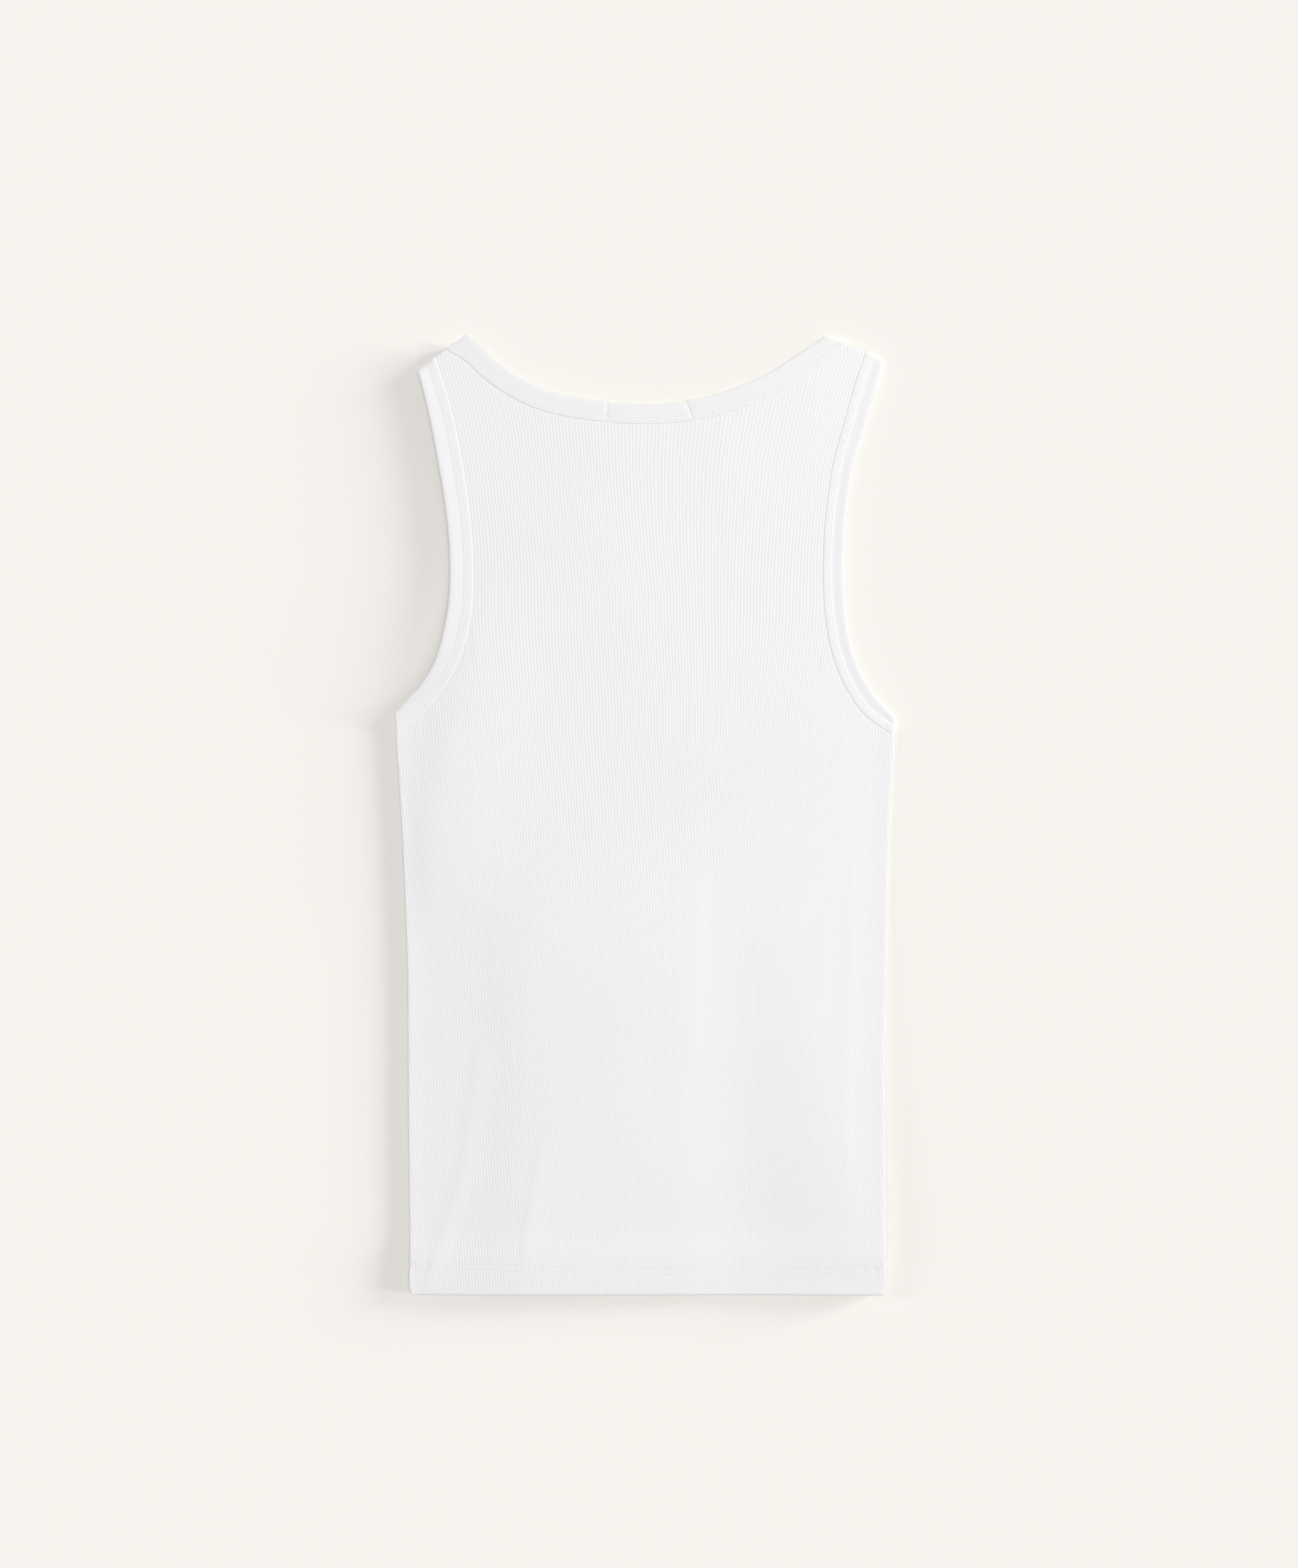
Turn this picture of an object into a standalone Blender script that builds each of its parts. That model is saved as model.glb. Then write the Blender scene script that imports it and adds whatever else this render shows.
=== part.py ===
"""Ribbed cotton tank top, laid flat on its front with its back uppermost.

Five sewn pieces: two rib-knit panels, and a smooth knit binding round the neck and round each
armhole. Each hem is turned up inside its own panel. Tables and sizes are in millimetres.

Frame: X across the garment, Y from hem to shoulders, Z up from the surface it lies on. The
origin is under the middle of the garment's box. "Height" below is measured up from the hem fold.
"""
import math

import bmesh
import bpy
import numpy as np

MM = 0.001

# ------------------------------------------------------------------ driving dimensions
LENGTH = 660.0            # hem fold to the neck end of the shoulders
WALL = 1.1                # rib knit, between its ribs
SEAM = 0.3                # space left between two pieces that are sewn together
HEM_DEPTH = 18.5          # height of the turned-up hem
HEM_LEAF = 1.0            # thickness of the turned-up layer
RIB_RISE = 0.5            # how far a rib stands out of the wall
WALE_COUNT = 170          # ribs from side to side at the chest
REST_GAP = 0.45           # space between the two panels where they lie on each other
SIDE_GAP = 1.8            # space inside the rounded side folds
HEM_GAP = 3.1             # space that holds the two turned-up layers
FRONT_NECK_DROP = 128.0   # the front neckline, below the neck end of the shoulders
FRONT_NECK_POWER = 2.6    # its squareness: 2 is a parabola
FRONT_ARM_INSET = 6.0     # how much deeper the front armholes are cut
FRONT_NECK_STEPS = 36     # cross-sections along it, between the shoulders
BAND_WIDTH = 14.4         # neck binding
SIDE_ROUND = 14.0         # how far in from a side its rounded fold flattens out
HEM_LAYERS = (20.0, 48.0)  # heights between which the panels come down from the hem's thickness
FOLD_END = 0.3            # share of a soft fold's length over which an end dies out
SIDE_SQUEEZE = 0.08       # how much closer the ribs stand at the sides, as a share
TOP_SQUEEZE = 0.3         # and beside the armholes, at the shoulders
TOP_SQUEEZED = (540.0, 640.0)  # heights between which that sets in

UNDERARM = 386.2          # height of the foot of the armhole bindings
ARM_FREE = 480.0          # height where the armhole starts to run along a wale

# Side edges, and above the underarm the line that the outermost wales keep to.
SIDES = (
    # height, left x, right x
    (0.0, -159.6, 163.6),
    (1.8, -161.2, 165.2),
    (8.0, -162.0, 166.2),
    (37.5, -161.4, 165.7),
    (89.0, -162.1, 165.4),
    (171.0, -162.6, 165.3),
    (223.0, -163.0, 166.4),
    (274.0, -164.8, 166.9),
    (325.0, -167.1, 168.6),
    (386.0, -170.9, 171.5),
    (430.0, -173.0, 173.4),
    (480.0, -174.6, 174.8),
)

# Edges of the neck binding on the back, from the left shoulder to the right one.
BACK_NECK = (
    # free edge x, height, sewn edge x, height
    (-121.5, 659.3, -135.6, 649.6),
    (-112.1, 652.5, -122.8, 641.7),
    (-99.2, 640.2, -109.5, 629.4),
    (-80.2, 627.9, -87.4, 614.9),
    (-59.6, 619.6, -64.2, 606.2),
    (-32.4, 614.9, -34.5, 600.9),
    (1.0, 612.9, 1.0, 598.6),
    (29.8, 615.1, 32.2, 600.8),
    (50.4, 619.6, 55.2, 605.6),
    (73.0, 627.9, 80.0, 614.4),
    (88.4, 635.6, 96.8, 622.2),
    (108.0, 648.4, 117.2, 635.6),
    (122.8, 657.8, 137.2, 653.1),
)

# Edges of each armhole binding on the back, from the shoulder down to the underarm.
BACK_ARMS = {
    "left": (
        # free edge x, height, sewn edge x, height
        (-155.9, 633.4, -143.6, 643.4),
        (-153.0, 623.7, -138.1, 626.8),
        (-147.8, 601.1, -131.6, 604.2),
        (-142.4, 572.8, -125.9, 575.9),
        (-137.3, 541.5, -120.9, 543.5),
        (-134.4, 510.6, -118.0, 511.6),
        (-134.7, 481.0, -118.0, 480.0),
        (-138.0, 459.2, -121.4, 455.8),
        (-143.5, 438.6, -129.0, 433.0),
        (-153.2, 420.6, -140.4, 412.9),
        (-163.0, 409.6, -152.9, 399.4),
        (-170.0, 401.6, -168.9, 386.2),
    ),
    "right": (
        (164.0, 639.1, 151.8, 647.6),
        (159.9, 622.2, 144.6, 626.3),
        (154.8, 604.4, 139.6, 608.6),
        (149.0, 585.7, 134.2, 589.6),
        (143.8, 568.7, 129.6, 571.8),
        (140.7, 549.2, 126.4, 551.4),
        (138.6, 531.2, 124.2, 532.2),
        (137.5, 510.6, 123.0, 510.6),
        (137.5, 495.0, 122.8, 495.0),
        (137.8, 480.8, 123.2, 480.0),
        (139.4, 463.5, 125.2, 460.0),
        (143.3, 443.8, 129.8, 438.6),
        (149.9, 426.8, 137.4, 419.6),
        (157.6, 413.9, 146.7, 404.6),
        (164.3, 405.4, 156.4, 394.6),
        (170.2, 398.6, 169.5, 386.2),
    ),
}

# Soft folds of the upper panel.
FOLDS = (
    # from x, height, to x, height, half width, rise
    (-20.0, 330.0, -4.0, -20.0, 46.0, 2.4),
    (142.0, 330.0, 122.0, -20.0, 26.0, 1.7),
    (-92.0, 280.0, -112.0, 110.0, 22.0, 1.0),
    (-146.0, 22.0, -108.0, 132.0, 9.0, 1.3),
    (-88.0, 24.0, -70.0, 96.0, 8.0, 0.9),
    (-60.0, 560.0, 40.0, 420.0, 40.0, 0.8),
)

# Cross-section of a binding, once round it from the foot of its sewn edge.
BAND = (
    # across (0 sewn edge, 1 free edge), height on the back, height on the front
    (0.00, 0.00, -0.15),
    (0.00, 1.45, 1.10),
    (0.10, 1.75, 1.10),
    (0.32, 1.40, 1.10),
    (0.76, 1.50, 1.10),
    (0.95, 1.20, 0.95),
    (1.00, 0.70, 0.50),
    (0.95, 0.00, -0.15),
)

BACK, FRONT = 1, -1       # the back panel lies above the fold line of the sides, the front below
WALES = {BACK: (28.5, 141.5), FRONT: (31.0, 139.0)}   # first and last wale that pass the armholes
EDGE_WALE = 2.0           # first wale that lies clear of the side fold
EDGE_WALES = 2.0          # wales this near to an armhole need its closer rows
OUTSIDE_ROWS = (0.4, 1.8, 19.0, 32.0, 46.0, 110.0, 190.0, 270.0, 350.0, 430.0, 515.0, 585.0)
BODY_ROWS = OUTSIDE_ROWS[2:]
ARM_ROWS = (498.0, 533.0, 551.0, 568.0, 602.0, 618.0, 632.0)
ROW_MARGIN = 9.0          # no row comes closer than this to a cut edge
NOSE = 0.35               # how far the hem fold's rows step in from the wall's faces
TOUCH = 0.01              # points nearer than this are one point
BISECTIONS = 40           # halvings that find where a wale ends
HEM_LEVELS = 7            # steps of the inner face round the turned-up hem
SLOT_END = 2.4            # height of the bottom of the slot inside the hem
SIDE_TURNS = (math.radians(90), math.radians(45), 0.0)
FOLD_TURNS = (math.radians(45), math.radians(90))
BAND_TURNS = tuple(math.radians(angle) for angle in (45, 90, 135))
OUTWARD = {"left": (-0.53, 0.85), "right": (0.37, 0.93)}   # away from the shoulder fold, in plan


# ------------------------------------------------------------------ curves
def smooth_step(value):
    value = min(max(value, 0.0), 1.0)
    return value * value * (3.0 - 2.0 * value)


def curve_through(rows, steps):
    """A Catmull-Rom curve through the rows of a table, in equal steps between rows."""
    curve = []
    for index in range(len(rows) - 1):
        before = rows[max(index - 1, 0)]
        after = rows[min(index + 2, len(rows) - 1)]
        for step in range(steps):
            t = step / steps
            values = zip(before, rows[index], rows[index + 1], after)
            curve.append(tuple(
                0.5 * (2 * b + (c - a) * t + (2 * a - 5 * b + 4 * c - d) * t ** 2
                       + (3 * b - a - 3 * c + d) * t ** 3)
                for a, b, c, d in values))
    curve.append(tuple(rows[-1]))
    return curve


SIDE_CURVE = np.array(curve_through(SIDES, 4))


def side_x(name, height):
    column = 1 if name == "left" else 2
    return float(np.interp(height, SIDE_CURVE[:, 0], SIDE_CURVE[:, column]))


def arm_sections(panel, name):
    """Edges of an armhole binding on one panel, from the shoulder down to the underarm."""
    sections = curve_through(BACK_ARMS[name], 2)
    if panel == BACK:
        return sections
    inward = FRONT_ARM_INSET if name == "left" else -FRONT_ARM_INSET
    front = []
    for index, (free_x, free_h, sewn_x, sewn_h) in enumerate(sections):
        shift = inward * math.sin(math.pi * index / (len(sections) - 1))
        front.append((free_x + shift, free_h, sewn_x + shift, sewn_h))
    return front


def neck_sections(panel):
    """Edges of the neck binding on one panel, from the left shoulder to the right one."""
    if panel == BACK:
        return curve_through(BACK_NECK, 3)
    first, last = BACK_NECK[0], BACK_NECK[-1]
    front = []
    for index in range(FRONT_NECK_STEPS + 1):
        share = 0.5 - 0.5 * math.cos(math.pi * index / FRONT_NECK_STEPS)
        fall = 1.0 - abs(2.0 * share - 1.0) ** FRONT_NECK_POWER
        free_x, free_h, sewn_x, sewn_h = (a + (b - a) * share for a, b in zip(first, last))
        free_fall = FRONT_NECK_DROP * fall
        sewn_fall = (FRONT_NECK_DROP + BAND_WIDTH - (free_h - sewn_h)) * fall
        front.append((free_x, free_h - free_fall, sewn_x, sewn_h - sewn_fall))
    return front


ARM_EDGES = {
    (panel, name): np.array([section[2:] for section in reversed(arm_sections(panel, name))])
    for panel in (BACK, FRONT) for name in ("left", "right")
}
TOP_EDGES = {
    panel: np.array([BACK_ARMS["left"][0][2:]]
                    + [section[2:] for section in neck_sections(panel)]
                    + [BACK_ARMS["right"][0][2:]])
    for panel in (BACK, FRONT)
}


def arm_x(panel, name, height):
    edge = ARM_EDGES[panel, name]
    return float(np.interp(height, edge[:, 1], edge[:, 0]))


def top_height(panel, x):
    edge = TOP_EDGES[panel]
    return float(np.interp(x, edge[:, 0], edge[:, 1]))


# ------------------------------------------------------------------ lie of the cloth
def fold_rise(x, height):
    """Rise of the upper panel over its soft folds."""
    rise = 0.0
    for from_x, from_h, to_x, to_h, half_width, top in FOLDS:
        along_x, along_h = to_x - from_x, to_h - from_h
        length = math.hypot(along_x, along_h)
        along = ((x - from_x) * along_x + (height - from_h) * along_h) / length ** 2
        across = ((x - from_x) * along_h - (height - from_h) * along_x) / length
        ends = smooth_step(along / FOLD_END)
        if to_h > 0:
            ends *= smooth_step((1.0 - along) / FOLD_END)
        rise += top * ends * math.exp(-(across / half_width) ** 2)
    return rise


def half_gap(x, height):
    """Half of the space between the panels: the panels keep this far from their middle."""
    level = min(height, UNDERARM)
    inside = min(x - side_x("left", level), side_x("right", level) - x)
    from_side = math.hypot(max(inside, 0.0), height - level)
    side = math.exp(-(from_side / SIDE_ROUND) ** 2)
    low, high = HEM_LAYERS
    hem = 1.0 - smooth_step((height - low) / (high - low))
    gap = REST_GAP + (SIDE_GAP - REST_GAP) * side * (1.0 - hem) + (HEM_GAP - REST_GAP) * hem
    return 0.5 * (gap + fold_rise(x, height) * (1.0 - side))


def spread(share, squeeze):
    """Wales that stand closer together at the edges than in the middle."""
    return share - squeeze * math.sin(2.0 * math.pi * share) / (2.0 * math.pi)


def wale_x(panel, wale, height):
    """Where a wale passes at a height: from side to side below, between the armholes above."""
    first, last = WALES[panel]

    def in_body(number, level):
        left, right = side_x("left", level), side_x("right", level)
        return left + (right - left) * spread(number / WALE_COUNT, SIDE_SQUEEZE)

    def in_top(number, level):
        left, right = arm_x(panel, "left", level), arm_x(panel, "right", level)
        low, high = TOP_SQUEEZED
        squeeze = TOP_SQUEEZE * smooth_step((level - low) / (high - low))
        return left + (right - left) * spread((number - first) / (last - first), squeeze)

    if height <= UNDERARM:
        return in_body(wale, height)
    passing = min(max(wale, first), last)
    level = max(height, ARM_FREE)
    blend = smooth_step((height - UNDERARM) / (ARM_FREE - UNDERARM))
    x = in_body(passing, min(height, ARM_FREE)) * (1.0 - blend) + in_top(passing, level) * blend
    below = min(height, ARM_FREE)
    return x + in_body(wale, below) - in_body(passing, below)


def crossing(inside, low, high):
    """The last value that is inside, between one that is and one that isn't."""
    for _ in range(BISECTIONS):
        middle = 0.5 * (low + high)
        if inside(middle):
            low = middle
        else:
            high = middle
    return low


def wale_at(panel, x, height):
    """The wale that passes through a point."""
    return crossing(lambda wale: wale_x(panel, wale, height) < x, 0.0, float(WALE_COUNT))


# ------------------------------------------------------------------ points
def place(x, height, half, offset, panel, turn=0.0, outward=(0.0, 0.0), seam=SEAM):
    """A point of a layer at a distance from the middle of the gap, turned round a fold."""
    radius = half + offset
    reach = radius * math.sin(turn)
    rise = radius * math.cos(turn)
    if seam:
        rise = max(rise, 0.5 * seam)
    z = WALL + half + panel * rise
    return ((x + outward[0] * reach) * MM, (height + outward[1] * reach - LENGTH / 2) * MM, z * MM)


def side_fold_stations(panel, name, turn):
    """A route up the rounded side fold, at one angle round it."""
    heights = [row for row in BODY_ROWS if row < UNDERARM - ROW_MARGIN] + [UNDERARM]
    outward = (-1.0, 0.0) if name == "left" else (1.0, 0.0)

    def station(height):
        edge = side_x(name, height)
        half = half_gap(edge, height)
        return (edge - outward[0] * (half + WALL), height, half, turn, outward)

    return station, heights, []


def wale_stations(panel, wale):
    """A route up one wale, from the hem to the edge where the cloth is cut."""
    first, last = WALES[panel]
    name = "left" if wale < WALE_COUNT / 2 else "right"
    tail = []
    if first <= wale <= last:
        end = crossing(lambda h: h < top_height(panel, wale_x(panel, wale, h)), ARM_FREE, LENGTH)
    else:
        toward = 1.0 if name == "left" else -1.0
        end = crossing(lambda h: toward * (wale_x(panel, wale, h) - arm_x(panel, name, h)) > 0,
                       UNDERARM, ARM_FREE)
    rows = BODY_ROWS
    if first <= wale <= last and min(wale - first, last - wale) < EDGE_WALES:
        rows = sorted(BODY_ROWS + ARM_ROWS)
    heights = [row for row in rows if row < end - ROW_MARGIN]
    if wale in (first, last):
        edge = ARM_EDGES[panel, name]
        end = float(edge[-1, 1])
        heights = [row for row in heights if row < ARM_FREE - ROW_MARGIN] + [ARM_FREE]
        heights += [float(h) for h in edge[:, 1] if ARM_FREE + 2.0 < h < end - 2.0]
    heights.append(end)
    end_x = wale_x(panel, wale, end)
    corner = BACK_NECK[0][2] if name == "left" else BACK_NECK[-1][2]
    if first <= wale <= last and abs(end_x) > abs(corner) - TOUCH:
        tail = [(end_x, end, half_gap(end_x, end), turn, OUTWARD[name]) for turn in FOLD_TURNS]

    def station(height):
        x = wale_x(panel, wale, height)
        return (x, height, half_gap(x, height), 0.0, (0.0, 0.0))

    return station, heights, tail


class Column:
    """One line of vertices up a panel, on its outer or its inner face."""

    def __init__(self, mesh, panel, wale, outer):
        if isinstance(wale, tuple):
            name, turn = wale
            station, heights, tail = side_fold_stations(panel, name, turn)
            rib = RIB_RISE if turn == SIDE_TURNS[1] else 0.0
        else:
            station, heights, tail = wale_stations(panel, wale)
            rib = RIB_RISE if wale == int(wale) else 0.0
        face = WALL if outer else 0.0
        if outer and panel == BACK:
            face += rib
        if outer:
            levels = [(OUTSIDE_ROWS[0], face - NOSE), (OUTSIDE_ROWS[1], face)]
        else:
            leaf_in, leaf_out = -SEAM - HEM_LEAF, -SEAM
            levels = [(0.0, 0.5 * (WALL + leaf_in)), (OUTSIDE_ROWS[0], leaf_in + NOSE),
                      (OUTSIDE_ROWS[1], leaf_in), (HEM_DEPTH, leaf_in), (HEM_DEPTH, leaf_out),
                      (SLOT_END, leaf_out), (SLOT_END, 0.0)]
        levels += [(height, face) for height in heights]
        points = [self.point(station(height), offset, panel) for height, offset in levels]
        self.flat = len(points) - 1
        points += [self.point(bend, face, panel) for bend in tail]
        self.verts = [mesh.verts.new(point) for point in points]
        self.last = len(points) - 1
        self.passes = not isinstance(wale, tuple) and WALES[panel][0] <= wale <= WALES[panel][1]
        self.touch = next((i for i, level in enumerate(levels) if level[0] >= ARM_FREE), self.last)

    @staticmethod
    def point(station, offset, panel):
        x, height, half, turn, outward = station
        return place(x, height, half, offset, panel, turn, outward)

    def stop(self, other):
        """The last vertex that this column shares with its neighbour."""
        if self.passes and not other.passes:
            return self.touch
        if self.last > self.flat and other.last == other.flat:
            return self.flat
        return self.last


# ------------------------------------------------------------------ faces
def strip(mesh, first, second):
    """Triangles between two lines of vertices, by the shorter diagonal."""
    i = j = 0
    while i < len(first) - 1 or j < len(second) - 1:
        advance_first = j == len(second) - 1
        if not advance_first and i < len(first) - 1:
            one = (first[i + 1].co - second[j].co).length
            other = (first[i].co - second[j + 1].co).length
            advance_first = one <= other
        if advance_first:
            mesh.faces.new((first[i], first[i + 1], second[j]))
            i += 1
        else:
            mesh.faces.new((first[i], second[j + 1], second[j]))
            j += 1


def sheet(mesh, columns):
    """Joins the columns side by side and returns the line of vertices along their upper ends."""
    rim = []
    start = columns[0].last
    for column, neighbour in zip(columns, columns[1:]):
        stop, other_stop = column.stop(neighbour), neighbour.stop(column)
        strip(mesh, column.verts[:stop + 1], neighbour.verts[:other_stop + 1])
        step = 1 if stop >= start else -1
        rim += [column.verts[index] for index in range(start, stop + step, step)]
        start = other_stop
    column = columns[-1]
    step = 1 if column.last >= start else -1
    rim += [column.verts[index] for index in range(start, column.last + step, step)]
    return rim


def ribbed_wales(panel):
    """Every wale and half wale: the ribs stand on the whole ones."""
    half_wales = int(2 * (WALE_COUNT - 2 * EDGE_WALE))
    return [EDGE_WALE + index / 2 for index in range(half_wales + 1)]


def plain_wales(panel):
    """The wales that end at a station of a sewn edge, so that a plain face keeps to that edge."""
    stations = [section[2:] for section in neck_sections(panel)]
    for name in ("left", "right"):
        stations += [point for point in ARM_EDGES[panel, name] if UNDERARM < point[1] < ARM_FREE]
    wales = [wale_at(panel, x, height) for x, height in stations]
    return sorted(wales + list(WALES[panel]))


def panel_columns(mesh, panel, wales, outer):
    """Columns of one face of a panel, with those round its side folds at either end."""
    around = [("left", turn) for turn in SIDE_TURNS]
    around += wales
    around += [("right", turn) for turn in reversed(SIDE_TURNS)]
    return [Column(mesh, panel, wale, outer) for wale in around]


def finish_object(mesh, name, material, collection):
    bmesh.ops.recalc_face_normals(mesh, faces=mesh.faces)
    data = bpy.data.meshes.new(name)
    mesh.to_mesh(data)
    mesh.free()
    data.materials.append(material)
    obj = bpy.data.objects.new(name, data)
    collection.objects.link(obj)
    return obj


def build_panel(name, panel, outer_wales, material, collection):
    """A panel: its outer face, its plain inner face with the turned-up hem, and its cut edges."""
    mesh = bmesh.new()
    outer = panel_columns(mesh, panel, outer_wales(panel), True)
    inner = panel_columns(mesh, panel, plain_wales(panel), False)
    outer_rim = sheet(mesh, outer)
    inner_rim = sheet(mesh, inner)
    strip(mesh, outer_rim, inner_rim)
    strip(mesh, [column.verts[0] for column in outer], [column.verts[0] for column in inner])
    for face, lining in ((outer[0], inner[0]), (outer[-1], inner[-1])):
        mesh.faces.new(face.verts[:3] + lining.verts[:HEM_LEVELS + 1][::-1])
        strip(mesh, face.verts[2:], lining.verts[HEM_LEVELS:])
    return finish_object(mesh, name, material, collection)


def band_ring(mesh, section, panel, turn=None, outward=(0.0, 0.0)):
    """One cross-section of a binding, flat on a panel or turned round the fold to the other."""
    free_x, free_h, sewn_x, sewn_h = section
    inset = SEAM / math.hypot(free_x - sewn_x, free_h - sewn_h)
    ring = []
    for across, on_back, on_front in BAND:
        share = inset + (1.0 - inset) * across
        x = sewn_x + (free_x - sewn_x) * share
        height = sewn_h + (free_h - sewn_h) * share
        half = half_gap(x, height)
        if turn is None:
            offset = on_back if panel == BACK else on_front
            point = place(x, height, half, offset, panel, seam=0.0)
        else:
            offset = on_back + (on_front - on_back) * turn / math.pi
            point = place(x, height, half, offset, BACK, turn, outward, seam=0.0)
        ring.append(mesh.verts.new(point))
    return ring


def build_band(name, back, front, first_fold, last_fold, material, collection):
    """A closed binding: along the back, over one fold, along the front and over the other."""
    mesh = bmesh.new()
    rings = [band_ring(mesh, section, BACK) for section in back]
    rings += [band_ring(mesh, back[-1], BACK, turn, last_fold) for turn in BAND_TURNS]
    rings += [band_ring(mesh, section, FRONT) for section in reversed(front)]
    rings += [band_ring(mesh, back[0], BACK, turn, first_fold) for turn in reversed(BAND_TURNS)]
    points = len(BAND)
    for ring, following in zip(rings, rings[1:] + rings[:1]):
        for index in range(points):
            after = (index + 1) % points
            mesh.faces.new((ring[index], ring[after], following[after], following[index]))
    return finish_object(mesh, name, material, collection)


def cloth_material(name, colour, roughness):
    material = bpy.data.materials.new(name)
    material.use_nodes = True
    shader = material.node_tree.nodes["Principled BSDF"]
    shader.inputs["Base Color"].default_value = (*colour, 1.0)
    shader.inputs["Roughness"].default_value = roughness
    shader.inputs["Metallic"].default_value = 0.0
    return material


# ------------------------------------------------------------------ the garment
def main():
    for obj in list(bpy.data.objects):
        bpy.data.objects.remove(obj, do_unlink=True)
    collection = bpy.data.collections.new("tank_top")
    bpy.context.scene.collection.children.link(collection)

    back_rib = cloth_material("back_rib_knit", (0.86, 0.86, 0.86), 0.9)
    front_rib = cloth_material("front_rib_knit", (0.84, 0.84, 0.84), 0.9)
    build_panel("back_panel", BACK, ribbed_wales, back_rib, collection)
    build_panel("front_panel", FRONT, plain_wales, front_rib, collection)

    neck_knit = cloth_material("neck_binding_knit", (0.88, 0.88, 0.88), 0.85)
    build_band("neck_binding", neck_sections(BACK), neck_sections(FRONT),
               OUTWARD["left"], OUTWARD["right"], neck_knit, collection)
    for name, side in (("left", (-1.0, 0.0)), ("right", (1.0, 0.0))):
        knit = cloth_material(name + "_armhole_knit", (0.88, 0.88, 0.88), 0.85)
        build_band(name + "_armhole_binding", arm_sections(BACK, name),
                   arm_sections(FRONT, name), OUTWARD[name], side, knit, collection)


main()
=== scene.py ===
# %% [markdown]
# # A ribbed tank top, laid flat
#
# This lesson dresses a plain model of a tank top: two rib-knit panels, three folded bindings and
# the sewing that holds them. The plain solids come first, as a frame. Each cloth piece here is
# then a thin shell on the form of its own solid, with ribs, creases and stitches that the solid
# is too coarse for.
#
# The garment lies on its front, so the camera looks straight down on its back. X runs across it,
# Y from the hem to the shoulders and Z up from the table.

# %% Open the frame
import math

import bmesh
import bpy
import numpy as np
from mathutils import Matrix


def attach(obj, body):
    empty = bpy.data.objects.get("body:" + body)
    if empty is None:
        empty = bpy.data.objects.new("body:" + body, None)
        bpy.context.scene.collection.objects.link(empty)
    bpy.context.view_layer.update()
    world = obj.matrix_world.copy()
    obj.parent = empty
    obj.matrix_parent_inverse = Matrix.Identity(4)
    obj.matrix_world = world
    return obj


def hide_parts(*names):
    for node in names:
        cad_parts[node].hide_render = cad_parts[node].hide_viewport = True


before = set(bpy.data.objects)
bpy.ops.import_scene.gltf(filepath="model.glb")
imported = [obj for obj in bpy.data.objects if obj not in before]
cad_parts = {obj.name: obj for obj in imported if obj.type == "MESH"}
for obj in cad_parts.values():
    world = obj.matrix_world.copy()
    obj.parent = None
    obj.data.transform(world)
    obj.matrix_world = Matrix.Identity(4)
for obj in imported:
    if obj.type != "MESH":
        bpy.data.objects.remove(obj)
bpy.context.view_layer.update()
print("solids:", ", ".join(sorted(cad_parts)))

# %% [markdown]
# ## The garment's own sizes
#
# A knitter thinks in millimetres, so every size here is in millimetres and is multiplied by MM
# only when a point is placed. "Height" always means the distance up from the hem fold. The cloth
# is 1.1 mm thick between its ribs, and the upper panel lies on the lower one.

# %% Sizes
MM = 0.001
LENGTH = 660.0            # hem fold to the neck end of the shoulders
WALL = 1.1                # rib knit, between its ribs
RIB_RISE = 0.26           # how far a rib stands out
WALE_COUNT = 170          # ribs from side to side at the chest
REST_GAP = 0.45           # space between the panels where they lie on each other
SIDE_GAP = 1.2            # space inside the rounded side folds
HEM_GAP = 2.8             # space that holds the two turned-up layers
SIDE_ROUND = 10.0         # how far in from a side its rounded fold flattens out
HEM_LAYERS = (20.0, 48.0)  # heights between which the panels come down from it
FOLD_POWER = 0.36         # squareness of a pressed side fold: 1 is a half circle
FOLD_END = 0.3            # share of a soft fold's length over which an end dies out
SIDE_SQUEEZE = 0.08       # how much closer the ribs stand at the sides, as a share
UNDERARM = 386.2          # height of the foot of the armhole bindings
ARM_FREE = 480.0          # height where the armhole starts to run along a rib
UNDERLAP = 2.5            # how far a panel reaches in between the layers of a binding
BACK, FRONT = 1, -1       # the back panel lies above the middle of the gap, the front below
WALES = {BACK: (30.2, 141.8), FRONT: (32.7, 139.3)}   # first and last rib that pass the armholes
print(WALE_COUNT, "ribs across and", LENGTH, "mm from the hem to the shoulders")

# %% [markdown]
# ## The cut
#
# Three short tables say how the pieces are cut: the sides, the neckline and the two armholes. A
# pattern cutter draws them the same way, as a few points joined by a curve. The rows are the same
# as in the solids, so the shells fit them, but the curve through them is drawn in finer steps.

# %% Outlines
SIDES = (
    # height, left x, right x
    (0.0, -159.6, 163.6), (1.8, -161.2, 165.2), (8.0, -162.0, 166.2), (37.5, -161.4, 165.7),
    (89.0, -162.1, 165.4), (171.0, -162.6, 165.3), (223.0, -163.0, 166.4), (274.0, -164.8, 166.9),
    (325.0, -167.1, 168.6), (386.0, -170.9, 171.5), (430.0, -173.0, 173.4), (480.0, -174.6, 174.8),
)
BACK_NECK = (
    # free edge x, height, sewn edge x, height, from the left shoulder to the right one
    (-121.5, 659.3, -135.6, 649.6), (-112.1, 652.5, -122.8, 641.7), (-99.2, 640.2, -109.5, 629.4),
    (-80.2, 627.9, -87.4, 614.9), (-59.6, 619.6, -64.2, 606.2), (-32.4, 614.9, -34.5, 600.9),
    (1.0, 612.9, 1.0, 598.6), (29.8, 615.1, 32.2, 600.8), (50.4, 619.6, 55.2, 605.6),
    (73.0, 627.9, 80.0, 614.4), (88.4, 635.6, 96.8, 622.2), (108.0, 648.4, 117.2, 635.6),
    (122.8, 657.8, 137.2, 653.1),
)
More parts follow.
